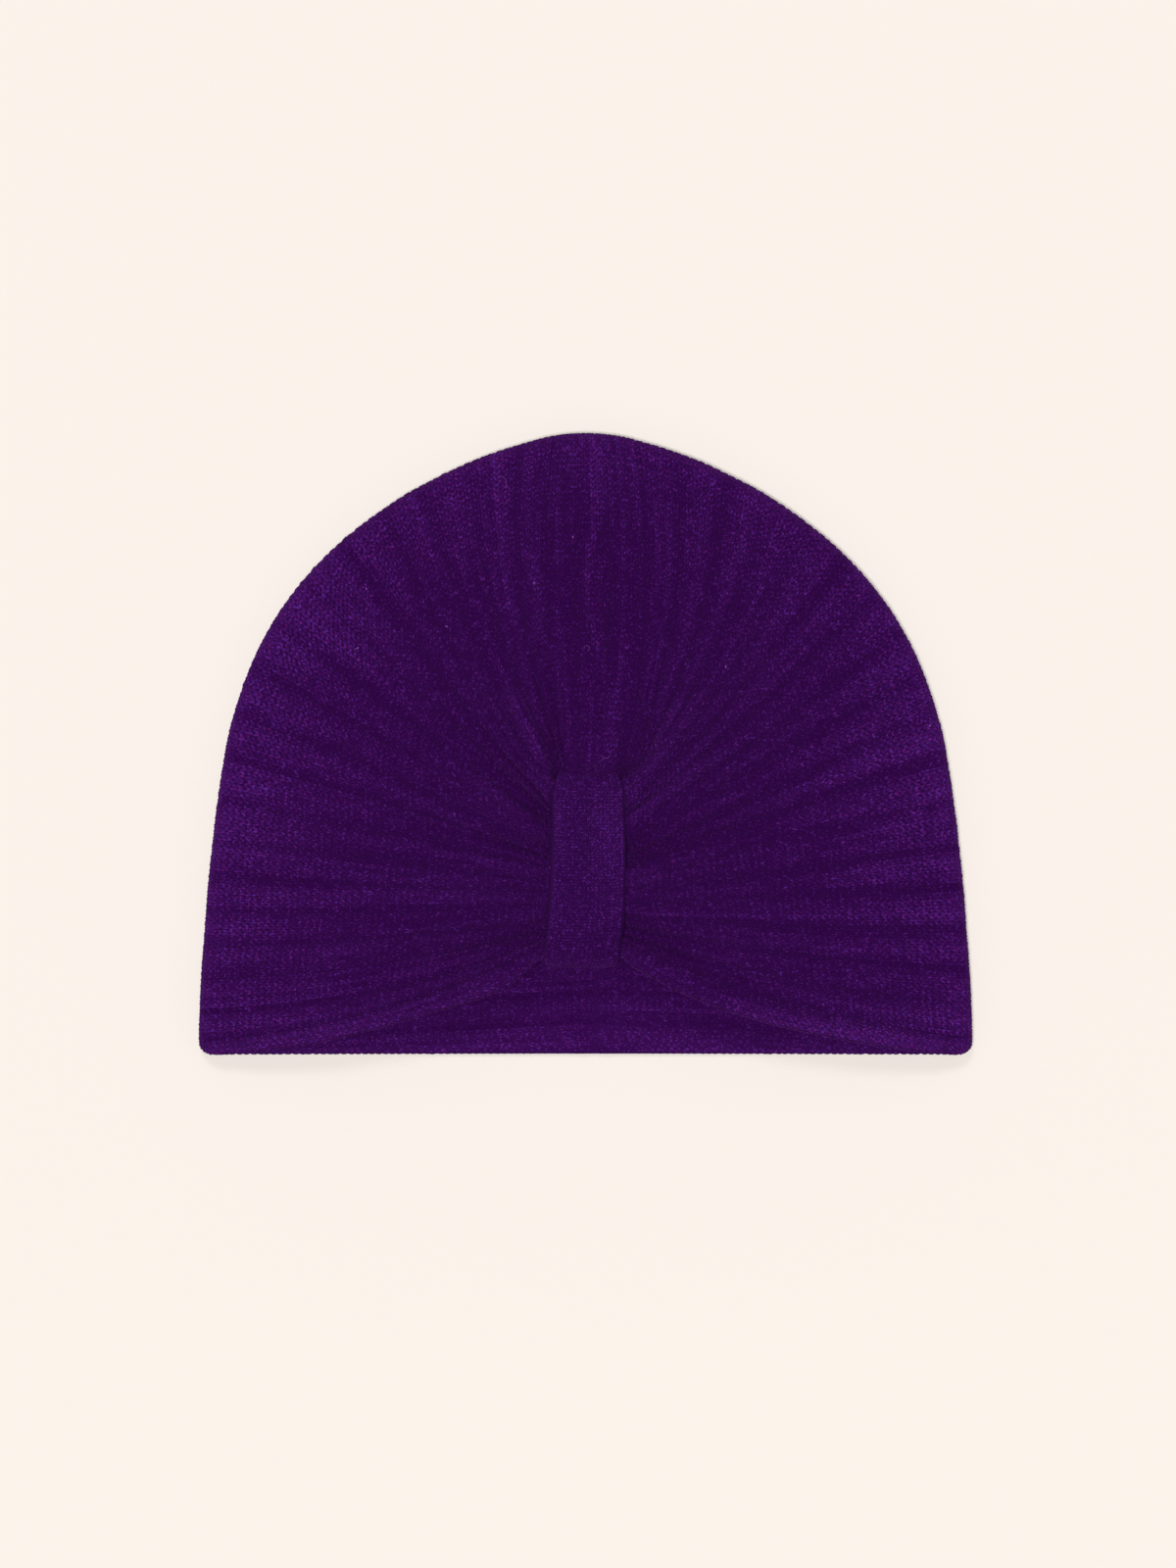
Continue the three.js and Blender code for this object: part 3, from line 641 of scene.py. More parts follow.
class Wire:
    """A node's socket that takes part in Python sums."""

    def __init__(self, socket):
        self.socket = socket

    @staticmethod
    def math(operation, *values):
        tree = next(v.socket.id_data for v in values if isinstance(v, Wire))
        sockets = dict(enumerate(values))
        return Wire(add_node(tree, "ShaderNodeMath", {"operation": operation}, sockets).outputs[0])

    def __add__(self, other):
        return Wire.math("ADD", self, other)

    __radd__ = __add__

    def __mul__(self, other):
        return Wire.math("MULTIPLY", self, other)

    __rmul__ = __mul__

    def __sub__(self, other):
        return Wire.math("SUBTRACT", self, other)

    def __rsub__(self, other):
        return Wire.math("SUBTRACT", other, self)

    def __abs__(self):
        return Wire.math("ABSOLUTE", self)

    def __pow__(self, power):
        return Wire.math("POWER", self, power)


class Finish:
    """A material and its nodes."""

    def __init__(self, name):
        self.material = bpy.data.materials.new(name)
        self.material.use_nodes = True
        self.tree = self.material.node_tree
        self.tree.nodes.clear()

    def node(self, kind, settings=None, sockets=None):
        return add_node(self.tree, kind, settings, sockets)

    def attribute(self, name, output="Fac"):
        return Wire(self.node("ShaderNodeAttribute", {"attribute_name": name}).outputs[output])

    def split(self, vector):
        parts = self.node("ShaderNodeSeparateXYZ", None, {"Vector": vector}).outputs
        return Wire(parts["X"]), Wire(parts["Y"])

    def noise(self, scale, detail=2.0):
        place = self.node("ShaderNodeTexCoord").outputs["Object"]
        sockets = {"Vector": Wire(place), "Scale": scale, "Detail": detail}
        return Wire(self.node("ShaderNodeTexNoise", None, sockets).outputs["Fac"])

    def blend(self, share, low, high):
        """Mix two colours: the mix node's colour sockets are its inputs 6 and 7 and output 2."""
        settings = {"data_type": "RGBA", "clamp_factor": True}
        sockets = {0: share, 6: low, 7: high}
        return Wire(self.node("ShaderNodeMix", settings, sockets).outputs[2])

    def surface(self, shader):
        self.node("ShaderNodeOutputMaterial", None, {"Surface": Wire(shader.outputs["BSDF"])})
        return self.material

    def matt(self, colour):
        return self.surface(self.node("ShaderNodeBsdfDiffuse", None, {"Color": colour}))

    def cloth(self, colour, height, distance, sheen):
        relief = self.node("ShaderNodeBump", None,
                           {"Height": height, "Distance": distance, "Strength": 1.0})
        return self.surface(self.node("ShaderNodeBsdfPrincipled", None, {
            "Base Color": colour,
            "Roughness": 0.95,
            "Specular IOR Level": 0.0,
            "Sheen Weight": sheen,
            "Sheen Roughness": 0.6,
            "Sheen Tint": (0.55, 0.12, 0.9, 1.0),
            "Normal": Wire(relief.outputs["Normal"]),
        }))


def tinted(colour, red, green, blue):
    return (colour[0] * red, colour[1] * green, colour[2] * blue, 1.0)


def shade_of(colour, factor):
    return tinted(colour, factor, factor, factor)


def knit_height(finish):
    """Rows of V stitches from the piece's own knit map: u counts wales, v counts courses."""
    place = finish.node("ShaderNodeUVMap", {"uv_map": "knit"})
    u, v = finish.split(Wire(place.outputs["UV"]))
    across = abs(Wire.math("FRACT", u) - 0.5) * 2
    slant = Wire.math("SINE", (v + across * 0.55) * (2 * math.pi))
    leg = Wire.math("SINE", across * math.pi)
    return leg * (slant * 0.5 + 0.5)


def ground_finish(settings):
    """The cloth under the stitches, painted darker on the outside as the shade in the gaps where it
    shows, and with painted shade between the V stitches of its knit map.
    """
    finish = Finish("rib_knit_ground")
    shade = finish.attribute("shade")
    stitches = knit_height(finish)
    speck = finish.noise(900.0)
    # Painted shade: darker outside, where the shade attribute is 0, and between the knit map's V
    # stitches.
    share = shade * 0.8 + stitches * 0.3 + speck * 0.3 - 0.2
    colour = finish.blend(share, shade_of(settings.knit_colour, 0.6),
                          shade_of(settings.knit_colour, 1.25))
    return finish.cloth(colour, stitches + speck * 0.3, 0.0004, settings.sheen)


def stitch_finish(name, colour, sheen, grain, gloss, base):
    """The yarn, with painted shade between its plies, a lighter painted crest on each stitch's leg
    and a painted glint here and there on it, redder or bluer. Lighter stitches get more painted
    glint.
    Grain counts the glints to a metre, gloss sets their strength and base how light the yarn is
    without them."""
    finish = Finish(name)
    shade = finish.attribute("shade")
    across, along = finish.split(finish.attribute("yarn", "Vector"))
    # Where each leg's painted highlight falls: 1 on its crest, 0 at its edges.
    crest = (1 - across * across * 4) * (1 - along * along * 4)
    # Painted shade between the yarn's plies.
    twist = Wire.math("SINE", (along * 2.5 + across * 1.2) * (2 * math.pi)) * 0.5 + 0.5
    fibre = finish.noise(grain)
    # Painted glints, stronger on lighter stitches.
    glint = crest * Wire.math("MAXIMUM", fibre - 0.52, 0.0) * (shade * 5.0 + 2.1) * gloss
    share = shade * 0.22 + glint + crest * 0.08 + twist * 0.05 + base
    # The colours of the painted glints, redder or bluer.
    hue = (finish.noise(grain * 0.8, 1.0) - 0.5) * 5 + 0.5
    light = finish.blend(hue, tinted(colour, 3.7, 4.0, 2.7), tinted(colour, 2.7, 6.0, 3.7))
    mixed = finish.blend(share, tinted(colour, 0.62, 0.25, 0.62), light)
    return finish.cloth(mixed, fibre * 0.6 + twist * 0.5, 0.00016, sheen)


def crown_grid(columns, rows):
    """Number the cloth's points so that the right half ends on the left half's seam points."""
    index = np.arange(columns * rows).reshape(columns, rows)
    twin = columns - 1 - np.arange(columns)
    right = np.arange(columns) > columns // 2
    index[right, -1] = index[twin[right], -1]
    return index


def strip_quads(grid):
    """The four corners of each face of a grid, from the values at its points."""
    corners = (grid[:-1, :-1], grid[1:, :-1], grid[1:, 1:], grid[:-1, 1:])
    return np.stack(corners, -1).reshape(-1, 4)


def strip_maps(u, v):
    return np.stack([strip_quads(values) for values in np.broadcast_arrays(u, v)], -1)


def bundle_points(over, under):
    """The ribs run on under the strap from each left line to its twin on the right, thinnest at
    both ends of the bundle. Its columns are counted in thirds of a rib here."""
    last = STRAP_TOP_LINE * COLUMNS_PER_RIB
    column = np.arange(last + 1)
    middle = (over[:, 0] + under[:, 0]) / 2
    left, right = middle[column], middle[len(over) - 1 - column]
    full = ramp(np.minimum(column, last - column) * 3 / COLUMNS_PER_RIB, 0, 8)
    over_middle, under_middle = mix(1.8, 3.0, full), mix(1.4, 3.2, full)
    up, tops, bottoms = np.array((0, 0, 1)), [], []
    for share in (1 / 3, 2 / 3):
        at = mix(left, right, share)
        at[:, 2] += 0.4
        at[:, 1] -= 0.2 * ramp(column * 3 / COLUMNS_PER_RIB, 44, 48)
        tops.append(at + up * over_middle[:, None])
        bottoms.append(at - up * under_middle[:, None])
    return np.stack(tops, 1), np.stack(bottoms, 1)


def crown_mesh(relief):
    """Points, faces, knit map and shade of the whole crown, both faces of the cloth and its walls."""
    line = np.arange(RIBS * COLUMNS_PER_RIB + 1) / COLUMNS_PER_RIB
    over, under = cloth(line, relief)
    index = crown_grid(*over.shape[:2])
    last = STRAP_TOP_LINE * COLUMNS_PER_RIB
    tops, bottoms = bundle_points(over, under)
    extra = index.size + np.arange((last + 1) * 2).reshape(last + 1, 2)
    bridge = np.column_stack([index[::-1, 0][: last + 1], extra[:, ::-1], index[: last + 1, 0]])

    wale = line[:, None] * WALES_PER_RIB + 0.5
    course = way_from_outline(over) / course_pitch(line)[:, None]
    quads = np.vstack([strip_quads(index), strip_quads(bridge)])
    maps = np.vstack([strip_maps(wale, course), strip_maps(wale[: last + 1], BRIDGE_COURSES)])

    outer = np.vstack([over.reshape(-1, 3), tops.reshape(-1, 3)])
    inner = np.vstack([under.reshape(-1, 3), bottoms.reshape(-1, 3)])
    count = len(outer)
    start, end = open_edges(quads)
    walls = np.stack([end, start, start + count, end + count], -1)
    faces = np.vstack([quads, quads[:, ::-1] + count, walls])
    maps = np.vstack([maps, maps[:, ::-1], np.zeros((len(walls), 4, 2))])
    used, faces = np.unique(faces, return_inverse=True)
    # The outside face is painted dark as the shade in the gaps between stitches; the inside is
    # lighter.
    shade = np.repeat((0.0, INSIDE_SHADE), count)
    return np.vstack([outer, inner])[used], faces.reshape(-1, 4), maps, shade[used]


def turns_of(across, along, normal):
    """Euler angles that turn x, y and z onto the three directions."""
    upright = np.abs(across[..., 2]) > 0.9999
    roll = np.arctan2(along[..., 2], normal[..., 2])
    yaw = np.arctan2(across[..., 1], across[..., 0])
    return np.stack([
        np.where(upright, 0, roll),
        np.arcsin(np.clip(-across[..., 2], -1, 1)),
        np.where(upright, np.arctan2(-along[..., 0], along[..., 1]), yaw),
    ], -1)


def unit(vectors):
    return vectors / np.maximum(np.linalg.norm(vectors, axis=-1, keepdims=True), 1e-9)


def at_lengths(way, values, wanted):
    """Values along each path at the wanted lengths."""
    rows = [
        np.stack([np.interp(w, a, v[:, c]) for c in range(v.shape[1])], -1)
        for a, v, w in zip(way, values, wanted)
    ]
    return np.array(rows)


class Stitches:
    """Where each stitch sits, how it is turned and how large it is, in millimetres. A path's
    stitches are a pitch apart, counted from where its way is 0; share is the way along it, and
    those too near an end are left out."""

    def __init__(self, paths, beside, way, pitch, relief, courses):
        pitch = np.broadcast_to(pitch, len(paths))[:, None]
        wanted = (np.arange(*courses) + 0.5) * pitch
        margin, step = 0.3 * pitch, 0.6
        fits = (wanted > way[:, :1] + margin) & (wanted < way[:, -1:] - margin)
        place = at_lengths(way, paths, wanted)
        ahead, behind = (at_lengths(way, paths, wanted + d) for d in (step, -step))
        along = unit(ahead - behind)
        side = at_lengths(way, beside, wanted) - place
        across = side - along * (side * along).sum(-1, keepdims=True)
        width = 2 * np.linalg.norm(across, axis=-1)
        across = unit(across)
        turn = turns_of(across, along, np.cross(across, along))
        size = np.stack([width, pitch + 0 * width, relief + 0 * width], -1)
        share = (wanted < 0) + wanted / np.where(wanted < 0, -way[:, :1], way[:, -1:])
        path = np.broadcast_to(np.arange(len(paths))[:, None], fits.shape)
        dice = np.random.default_rng(SEEDS["loose"])
        loose = dice.normal(0, LOOSENESS, (fits.sum(), 4))
        self.turn, self.size = turn[fits], size[fits]
        shift = across[fits] * loose[:, :1] + along[fits] * loose[:, 1:2]
        self.place = place[fits] + shift * self.size[:, :1]
        self.turn[:, 2] += 2 * loose[:, 2]
        self.size[:, :2] *= 1 + loose[:, 3:]
        self.share, self.path = share[fits], path[fits]


def stitch_sockets(tree):
    """Give the stitch group its sockets, and return its inputs by name."""
    def add(name, kind, in_out="INPUT"):
        return tree.interface.new_socket(name=name, in_out=in_out, socket_type="NodeSocket" + kind)

    add("Geometry", "Geometry")
    for name, value in RIB_LEGS.items():
        add(name, "Float").default_value = value
    add("Yarn", "Material")
    add("Geometry", "Geometry", "OUTPUT")
    return {socket.name: Wire(socket) for socket in add_node(tree, "NodeGroupInput").outputs}


def leg_of_yarn(add, given):
    """One upright leg of a stitch: a small grid, raised along its middle and sunk at its ends, that
    keeps its own map as yarn."""
    grid = add("GeometryNodeMeshGrid", {
        "Size X": 1.0, "Size Y": 1.0, "Vertices X": 3, "Vertices Y": 4})
    place = add("GeometryNodeInputPosition")
    split = add("ShaderNodeSeparateXYZ", {0: place}).socket.node.outputs
    x, y = Wire(split[0]), Wire(split[1])
    bulge = (1 - x**2 * 4) * Wire.math("MINIMUM", (1 - y**2 * 4) * 1.35, 1.0)
    raised = add("ShaderNodeCombineXYZ", {
        0: x * given["Leg Width"], 1: y * given["Leg Length"], 2: bulge * 1.3 - 0.3})
    mapped = add("GeometryNodeStoreNamedAttribute", {
        "Geometry": grid, "Name": "yarn", "Value": place}, data_type="FLOAT_VECTOR", domain="POINT")
    return add("GeometryNodeSetPosition", {"Geometry": mapped, "Position": raised})


def make_stitch_tree():
    """One V stitch of two legs, set on every point of a mesh."""
    tree = bpy.data.node_groups.new("knit_stitches", "GeometryNodeTree")

    def add(kind, sockets=None, **settings):
        return Wire(add_node(tree, kind, settings, sockets).outputs[0])

    def stored(name):
        return add("GeometryNodeInputNamedAttribute", {"Name": name}, data_type="FLOAT_VECTOR")

    given = stitch_sockets(tree)
    leg, legs = leg_of_yarn(add, given), add("GeometryNodeJoinGeometry")
    for sign in (-1.0, 1.0):
        shift = add("ShaderNodeCombineXYZ", {0: given["Spread"] * sign})
        lean = add("ShaderNodeCombineXYZ", {2: given["Lean"] * -sign})
        moved = add("GeometryNodeTransform", {
            "Geometry": leg, "Translation": shift,
            "Rotation": add("FunctionNodeEulerToRotation", {0: lean})})
        tree.links.new(moved.socket, legs.socket.node.inputs[0])

    knit = add("GeometryNodeInstanceOnPoints", {
        "Points": given["Geometry"], "Instance": legs,
        "Rotation": add("FunctionNodeEulerToRotation", {0: stored("turn")}),
        "Scale": stored("size")})
    smooth = add("GeometryNodeSetShadeSmooth", {0: add("GeometryNodeRealizeInstances", {0: knit})})
    yarn = add("GeometryNodeSetMaterial", {"Geometry": smooth, "Material": given["Yarn"]})
    add_node(tree, "NodeGroupOutput", None, {0: yarn})
    return tree


def knit_piece(name, stitches, shade, yarn, legs):
    """Knit one piece from its stitches, as a plain mesh."""
    points = new_piece(name + "_points", stitches.place, [], smooth=False)
    mesh = points.data
    put_attribute(mesh, "turn", stitches.turn)
    put_attribute(mesh, "size", stitches.size * MM)
    put_attribute(mesh, "shade", shade)
    modifier = points.modifiers.new("knit", "NODES")
    modifier.node_group = bpy.data.node_groups.get("knit_stitches") or make_stitch_tree()
    inputs = {"Yarn": yarn, **legs}
    for item in modifier.node_group.interface.items_tree:
        if item.item_type == "SOCKET" and item.name in inputs:
            modifier[item.identifier] = inputs[item.name]
    evaluated = points.evaluated_get(bpy.context.evaluated_depsgraph_get())
    knitted = bpy.data.meshes.new_from_object(evaluated)
    knitted.name = name
    bpy.data.objects.remove(points)
    bpy.data.meshes.remove(mesh)
    return new_object(name, knitted)


def crown_wales():
    """The middles of the stitch columns, one of each rib's six in its groove."""
    return np.arange(1, RIBS * WALES_PER_RIB) / WALES_PER_RIB


def dress(piece, node=None):
    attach(piece, "root")
    if node:
        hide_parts(node)


class BeanieKnit(bpy.types.PropertyGroup):
    """Sizes and colours of the rib knit."""

    groove_depth: bpy.props.FloatProperty(
        name="Groove Depth", description="Depth of the grooves between the ribs",
        default=0.00075, min=0.0, unit="LENGTH")
    stitch_relief: bpy.props.FloatProperty(
        name="Stitch Relief", description="How far a stitch stands out of the cloth",
        default=0.00034, min=0.0, unit="LENGTH")
    unevenness: bpy.props.FloatProperty(
        name="Unevenness", description="Soft rise and fall of the laid cloth",
        default=0.0003, min=0.0, unit="LENGTH")
    knit_colour: bpy.props.FloatVectorProperty(
        name="Knit Colour", description="Colour of the rib knit", subtype="COLOR", size=4,
        default=(0.036, 0.0032, 0.072, 1.0))
    lint_colour: bpy.props.FloatVectorProperty(
        name="Lint Colour", description="Colour of the loose fibres", subtype="COLOR", size=4,
        default=(0.33, 0.08, 0.5, 1.0))
    sheen: bpy.props.FloatProperty(
        name="Fuzz", description="Light caught by loose fibres", default=0.12, min=0.0, max=1.0,
        subtype="FACTOR")


class BeanieStrap(bpy.types.PropertyGroup):
    """Sizes and colours of the jersey strap."""

    wale: bpy.props.FloatProperty(
        name="Wale", description="Width of a column of its stitches", default=0.00133,
        unit="LENGTH")
    course: bpy.props.FloatProperty(
        name="Course", description="Height of a row of its stitches", default=0.00098,
        unit="LENGTH")
    jersey_colour: bpy.props.FloatVectorProperty(
        name="Jersey Colour", description="Colour of the jersey", subtype="COLOR", size=4,
        default=(0.038, 0.0035, 0.078, 1.0))


class BeanieStage(bpy.types.PropertyGroup):
    """Floor, light and camera."""

    floor_colour: bpy.props.FloatVectorProperty(
        name="Floor Colour", description="Colour of the floor", subtype="COLOR", size=4,
        default=(0.92, 0.855, 0.79, 1.0))
    dome: bpy.props.FloatProperty(
        name="Dome", description="Even light from all round", default=0.16, min=0.0)
    key: bpy.props.FloatProperty(
        name="Key", description="Soft light from above", default=2.9, min=0.0)
    lens: bpy.props.FloatProperty(
        name="Lens", description="Focal length in millimetres", default=135.0, min=10.0)


class BEANIE_OT_crown(bpy.types.Operator):
    """Make the ribbed cloth of the hat, in one piece"""

    bl_idname = "beanie.crown"
    bl_label = "Ribbed Crown"

    def execute(self, context):
        settings = context.scene.beanie_knit
        points, faces, maps, shade = crown_mesh(Relief(settings))
        piece = new_piece("rib_knit_crown", points, faces.tolist(), ground_finish(settings))
        put_uv(piece.data, maps)
        put_attribute(piece.data, "shade", shade)
        dress(piece, "ribbed_crown")
        return {"FINISHED"}


def rib_stitches(lines, settings, courses, side):
    relief = Relief(settings)
    face, half = (1, -0.5) if side == "inside" else (0, 0.5)
    paths = cloth(lines, relief, PATH_DETAIL)[face]
    beside = cloth(lines + half / WALES_PER_RIB, relief, PATH_DETAIL)[face]
    way = way_from_outline(paths, PATH_DETAIL)
    return Stitches(paths, beside, way, course_pitch(lines), relief.stitch, courses)


def hem_stitches(settings):
    """One column of stitches along the cut edge of each hem."""
    relief = Relief(settings)
    lines = np.array((HEM_INSET, RIBS - HEM_INSET))
    over, under = cloth(lines, relief, PATH_DETAIL)
    paths = (over + under) / 2
    beside = np.stack([over[0], under[1]])
    way = way_from_outline(paths, PATH_DETAIL)
    courses = (-MOST_COURSES, MOST_COURSES)
    return Stitches(paths, beside, way, course_pitch(lines), relief.stitch, courses)


def stitch_shades(stitches, lines, seed, side):
    """Every stitch has its own shade, on top of the cloth's."""
    dice, count = np.random.default_rng(seed), len(stitches.place)
    own = 0.09 * (dice.exponential(1.0, count) - 1) + 0.07 * dice.normal(0, 1, count)
    shade = cloth_shade(stitches.place, lines[stitches.path], stitches.share, side)
    return np.clip(0.36 + own + shade, *SHADE_LIMITS)


class BEANIE_OT_stitches(bpy.types.Operator):
    """Knit the stitches that stand out of the ribs"""

    bl_idname = "beanie.stitches"
    bl_label = "Rib Stitches"

    def execute(self, context):
        settings = context.scene.beanie_knit
        yarn = stitch_finish("rib_knit_yarn", settings.knit_colour, settings.sheen,
                             grain=1400.0, gloss=1.3, base=-0.052)
        lines = crown_wales()
        left, right = lines[lines < RIBS / 2], lines[lines >= RIBS / 2]
        low = lines[(lines < 5) | (lines > RIBS - 5)]
        front, back = (-MOST_COURSES, 0), (0, MOST_COURSES)
        jobs = (
            ("front_stitches_left", left, front, "front"),
            ("front_stitches_right", right, front, "front"),
            ("back_stitches_left", left, back, "back"),
            ("back_stitches_right", right, back, "back"),
            ("inner_stitches", low, (4, MOST_COURSES), "inside"),
        )
        for seed, (name, wales, courses, side) in enumerate(jobs, SEEDS["ribs"]):
            stitches = rib_stitches(wales, settings, courses, side)
            shade = stitch_shades(stitches, wales, seed, side)
            dress(knit_piece(name, stitches, shade, yarn, RIB_LEGS))
        hem = hem_stitches(settings)
        own = np.random.default_rng(SEEDS["hem"]).normal(0.38, 0.1, len(hem.place))
        # Painted light towards the outline.
        shade = np.clip(own + 0.2 * painted_outline_light(hem.place), *SHADE_LIMITS)
        dress(knit_piece("hem_stitches", hem, shade, yarn, RIB_LEGS))
        return {"FINISHED"}


def fibre_tube(path, radius):
    """Points and faces of a thin closed tube along a path, in millimetres."""
    along = unit(np.gradient(path, axis=0))
    side = unit(np.cross(along, (0.0, 0.0, 1.0)) + np.array((1e-6, 0.0, 0.0)))
    up = np.cross(side, along)
    turn = np.arange(FIBRE_SIDES) * 2 * math.pi / FIBRE_SIDES
    taper = np.sin(np.linspace(0.25, math.pi - 0.25, len(path)))[:, None, None] ** 0.5
    ring = side[:, None] * np.cos(turn)[:, None] + up[:, None] * np.sin(turn)[:, None]
    points = (path[:, None] + radius * taper * ring).reshape(-1, 3)
    index = np.arange(len(points)).reshape(len(path), FIBRE_SIDES)
    sides = strip_quads(np.column_stack([index, index[:, 0]]))
    return points, sides.tolist() + [index[0][::-1].tolist(), index[-1].tolist()]


def fibre_path(ground, middle, length, heading, lift):
    """A curl that follows the stitches under it and lifts off them in its middle."""
    flat_steps = np.stack([np.cos(heading), np.sin(heading)], -1) * length / (len(heading) - 1)
    flat = np.cumsum(flat_steps, 0) - flat_steps.sum(0) / 2 + middle
    near = np.linalg.norm(ground[:, None, :2] - flat[None], axis=-1)
    height = np.array([ground[near[:, i] < 1.6, 2].max() for i in range(len(flat))])
    height = np.convolve(np.pad(height, 1, "edge"), (0.25, 0.5, 0.25), "valid")
    return np.column_stack([flat, height + lift])


class BEANIE_OT_fibres(bpy.types.Operator):
    """Lay the loose fibres and the specks of lint on the front"""

    bl_idname = "beanie.fibres"
    bl_label = "Stray Fibres"

    def execute(self, context):
        settings = context.scene.beanie_knit
        dice = np.random.default_rng(SEEDS["fibres"])
        ground = rib_stitches(crown_wales(), settings, (-MOST_COURSES, 0), "front").place
        way = np.linspace(-0.5, 0.5, 9)
        points, faces = [], []
        for x, y, length, curl, rise in FIBRES:
            heading = dice.uniform(0, math.pi) + curl * way * math.pi
            lift = settings.stitch_relief / MM + rise * (1 - (2 * way) ** 2)
            path = fibre_path(ground, (x, y), length, heading, lift)
            ring, sides = fibre_tube(path, FIBRE_RADIUS if length > 3 else SPECK_RADIUS)
            faces += [[i + len(points) for i in face] for face in sides]
            points += ring.tolist()
        lint = Finish("loose_fibre").matt(settings.lint_colour)
        dress(new_piece("stray_fibres", points, faces, lint))
        return {"FINISHED"}


def strap_surface(across):
    """The strap's outer face along its loop, at shares across it, in millimetres."""
    edges = [
        smooth_curve(np.column_stack([STRAP[:, side], STRAP[:, :2]]), 12, closed=True)
        for side in (2, 3)
    ]
    along = np.roll(edges[0], -1, 0) - np.roll(edges[0], 1, 0)
    out = unit(np.stack([np.zeros(len(along)), along[:, 2], -along[:, 1]], -1))
    across = np.asarray(across, float)[:, None, None]
    centre = mix(edges[0][None], edges[1][None], across)
    out = np.broadcast_to(out, centre.shape)
    return centre - out * STRAP_EDGE_DROP * np.abs(2 * across - 1) ** 6, out


def strap_profile(across):
    """How far the outer face stands out of the strap's middle: full, with rolled edges."""
    reach = np.abs(2 * across - 1)
    return STRAP_THICKNESS * (
        0.42 * np.sqrt(np.clip(1 - reach**14, 0, 1))
        + 0.10 * (1 - reach**2)
        + 0.10 * bump(reach, 0.92, 0.07)
    )


def strap_mesh(strap):
    across = (1 - np.cos(np.linspace(0, math.pi, 29))) / 2
    centre, out = strap_surface(across)
    bulge = strap_profile(across)[:, None, None]
    outer = centre + out * bulge
    inner = (centre - out * bulge * 0.85)[1:-1]
    ring = np.concatenate([outer, inner[::-1]])
    sides, sections = ring.shape[:2]
    index = np.arange(sides * sections).reshape(sides, sections)
    closed = np.vstack([index, index[:1]])
    closed = np.column_stack([closed, closed[:, 0]])
    ring_closed = np.concatenate([ring, ring[:1]])
    ring_closed = np.concatenate([ring_closed, ring_closed[:, :1]], 1)
    u = lengths_along(ring_closed.transpose(1, 0, 2)).T / (strap.wale / MM)
    v = lengths_along(ring_closed) / (strap.course / MM)
    v = np.broadcast_to(np.round(v[:, -1:].mean()) * v / v[:, -1:], v.shape)
    return ring.reshape(-1, 3), strip_quads(closed)[:, ::-1], strip_maps(u, v)[:, ::-1]


def strap_shade(place):
    """The strap's painted light and shade: soft areas of its own, painted light along its rolled
    edges and painted shade at both ends.
    """
    x, y = place[..., 0], place[..., 1]
    # Painted light along the edges and painted shade at both ends.
    edge = 0.14 * bump(np.abs(x - 0.6), 11.0, 1.2)
    ends = -0.2 * (ramp(-y, 54, 64) + ramp(y, -15, -11))
    return painted_patches(place, PAINTED_STRAP_PATCHES) + edge + ends


class BEANIE_OT_strap(bpy.types.Operator):
    """Make the jersey strap round the gathered ribs"""

    bl_idname = "beanie.strap"
    bl_label = "Jersey Strap"

    def execute(self, context):
        knit, strap = context.scene.beanie_knit, context.scene.beanie_strap
        points, faces, maps = strap_mesh(strap)
        finish = Finish("jersey_ground")
        stitches = knit_height(finish)
        speck = finish.noise(1200.0)
        # Painted shade between the knit map's V stitches.
        colour = finish.blend(stitches * 0.7 + speck * 0.3, shade_of(strap.jersey_colour, 0.45),
                              shade_of(strap.jersey_colour, 1.1))
        material = finish.cloth(colour, stitches, 0.0003, knit.sheen)
        piece = new_piece("jersey_strap", points, faces.tolist(), material)
        put_uv(piece.data, maps)
        dress(piece, "front_strap")
        self.knit(strap, knit)
        return {"FINISHED"}

    def knit(self, strap, knit):
        wales = round(STRAP_WIDTH / (strap.wale / MM))
        across = STRAP_MARGIN + STRAP_COVER * (np.arange(wales) + 0.5) / wales
        faces = []
        for at in (across, across - STRAP_COVER / 2 / wales):
            centre, out = strap_surface(at)
            face = centre + out * strap_profile(at)[:, None, None]
            faces.append(np.concatenate([face, face[:, :1]], 1))
        way = lengths_along(faces[0])
        courses = round(way[:, -1].mean() / (strap.course / MM))
        pitch = way[:, -1] / courses
        stitches = Stitches(*faces, way, pitch, JERSEY_RELIEF, (0, courses))
        dice = np.random.default_rng(SEEDS["strap"])
        own = 0.18 + 0.23 * dice.exponential(1.0, len(stitches.place))
        shade = np.clip(own + strap_shade(stitches.place), *SHADE_LIMITS)
        yarn = stitch_finish("jersey_yarn", strap.jersey_colour, knit.sheen,
                             grain=1600.0, gloss=2.15, base=-0.07)
        dress(knit_piece("strap_stitches", stitches, shade, yarn, JERSEY_LEGS))


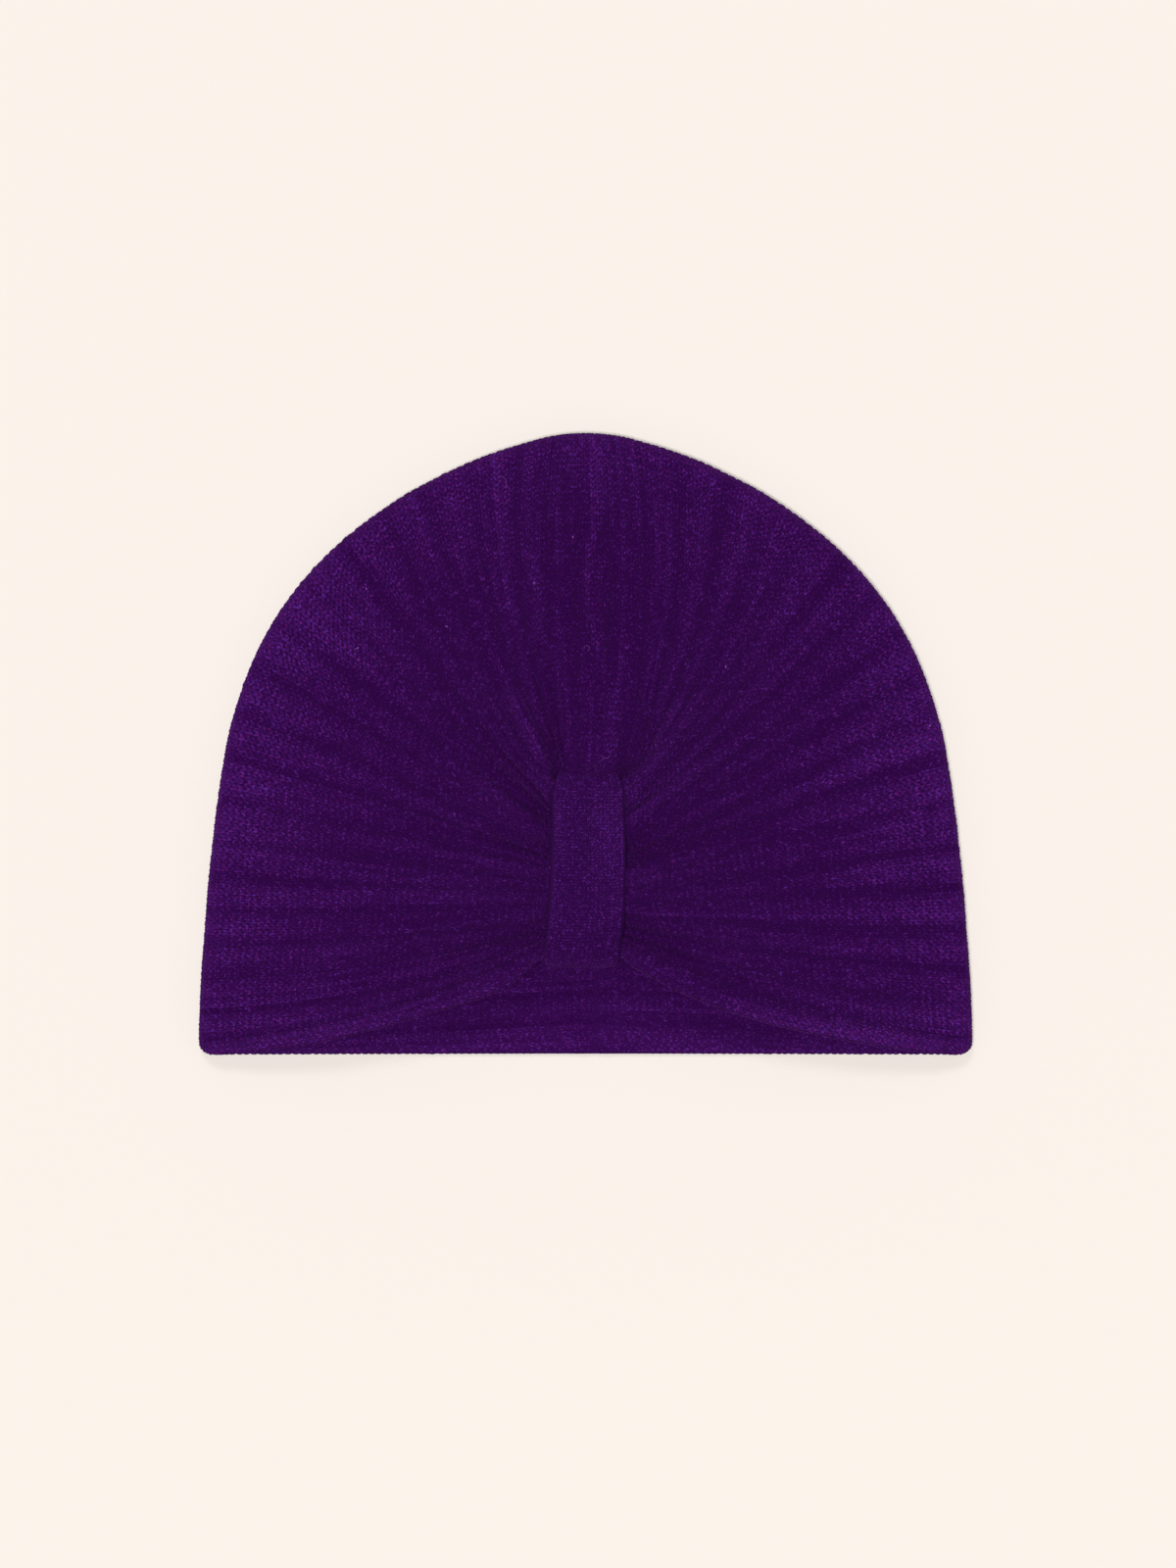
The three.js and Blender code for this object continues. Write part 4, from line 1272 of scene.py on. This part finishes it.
class BEANIE_OT_stage(bpy.types.Operator):
    """Set the floor, the light and the camera"""

    bl_idname = "beanie.stage"
    bl_label = "Stage"

    def execute(self, context):
        stage = context.scene.beanie_stage
        self.floor(stage)
        self.light(context.scene, stage)
        self.camera(context.scene, stage)
        return {"FINISHED"}

    def floor(self, stage):
        finish = Finish("floor")
        soft = finish.noise(1.3, 1.0)
        tint = finish.blend(soft, shade_of(stage.floor_colour, 0.985), stage.floor_colour)
        corners = [(x * FLOOR_REACH, y * FLOOR_REACH, FLOOR_Z)
                   for x, y in ((-1, -1), (1, -1), (1, 1), (-1, 1))]
        new_piece("floor", corners, [(0, 1, 2, 3)], finish.matt(tint), smooth=False)

    def light(self, scene, stage):
        scene.view_settings.view_transform = "Standard"
        world = bpy.data.worlds.new("soft_room")
        world.use_nodes = True
        background = world.node_tree.nodes["Background"]
        background.inputs["Color"].default_value = (1.0, 0.99, 0.985, 1.0)
        background.inputs["Strength"].default_value = stage.dome
        scene.world = world
        for name, share, spread, tilt_x, tilt_y in LAMPS:
            lamp = bpy.data.lights.new(name, "SUN")
            lamp.energy = stage.key * share
            lamp.angle = math.radians(spread)
            new_object(name, lamp).rotation_euler = (math.radians(tilt_x), math.radians(tilt_y), 0)

    def camera(self, scene, stage):
        view = bpy.data.cameras.new("photo")
        view.lens = stage.lens
        view.sensor_fit = "VERTICAL"
        view.sensor_height = 36.0
        view.clip_end = 20.0
        distance = view.lens / view.sensor_height * VIEW_PIXELS * MM_PER_PIXEL
        x, y, z = VIEW_CENTRE
        scene.camera = new_object("photo", view)
        scene.camera.location = (x * MM, y * MM, (z + distance) * MM)


class BEANIE_PT_panel(bpy.types.Panel):
    """The beanie's pieces and their sizes"""

    bl_label = "Turban Beanie"
    bl_idname = "BEANIE_PT_panel"
    bl_space_type = "VIEW_3D"
    bl_region_type = "UI"
    bl_category = "Beanie"

    def draw(self, context):
        layout = self.layout
        for operator in OPERATORS:
            layout.operator(operator.bl_idname)
        for group_name, kind in GROUPS.items():
            box = layout.box()
            for name in kind.__annotations__:
                box.prop(getattr(context.scene, group_name), name)


OPERATORS = (BEANIE_OT_crown, BEANIE_OT_stitches, BEANIE_OT_fibres, BEANIE_OT_strap,
             BEANIE_OT_stage)
GROUPS = {"beanie_knit": BeanieKnit, "beanie_strap": BeanieStrap, "beanie_stage": BeanieStage}
CLASSES = (*GROUPS.values(), *OPERATORS, BEANIE_PT_panel)


def register():
    for kind in CLASSES:
        bpy.utils.register_class(kind)
    for name, kind in GROUPS.items():
        setattr(bpy.types.Scene, name, bpy.props.PointerProperty(type=kind))


def unregister():
    for name in GROUPS:
        delattr(bpy.types.Scene, name)
    for kind in reversed(CLASSES):
        bpy.utils.unregister_class(kind)


def main():
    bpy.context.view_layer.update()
    register()
    bpy.ops.beanie.crown()
    bpy.ops.beanie.stitches()
    bpy.ops.beanie.fibres()
    bpy.ops.beanie.strap()
    bpy.ops.beanie.stage()


if __name__ == "__main__":
    main()
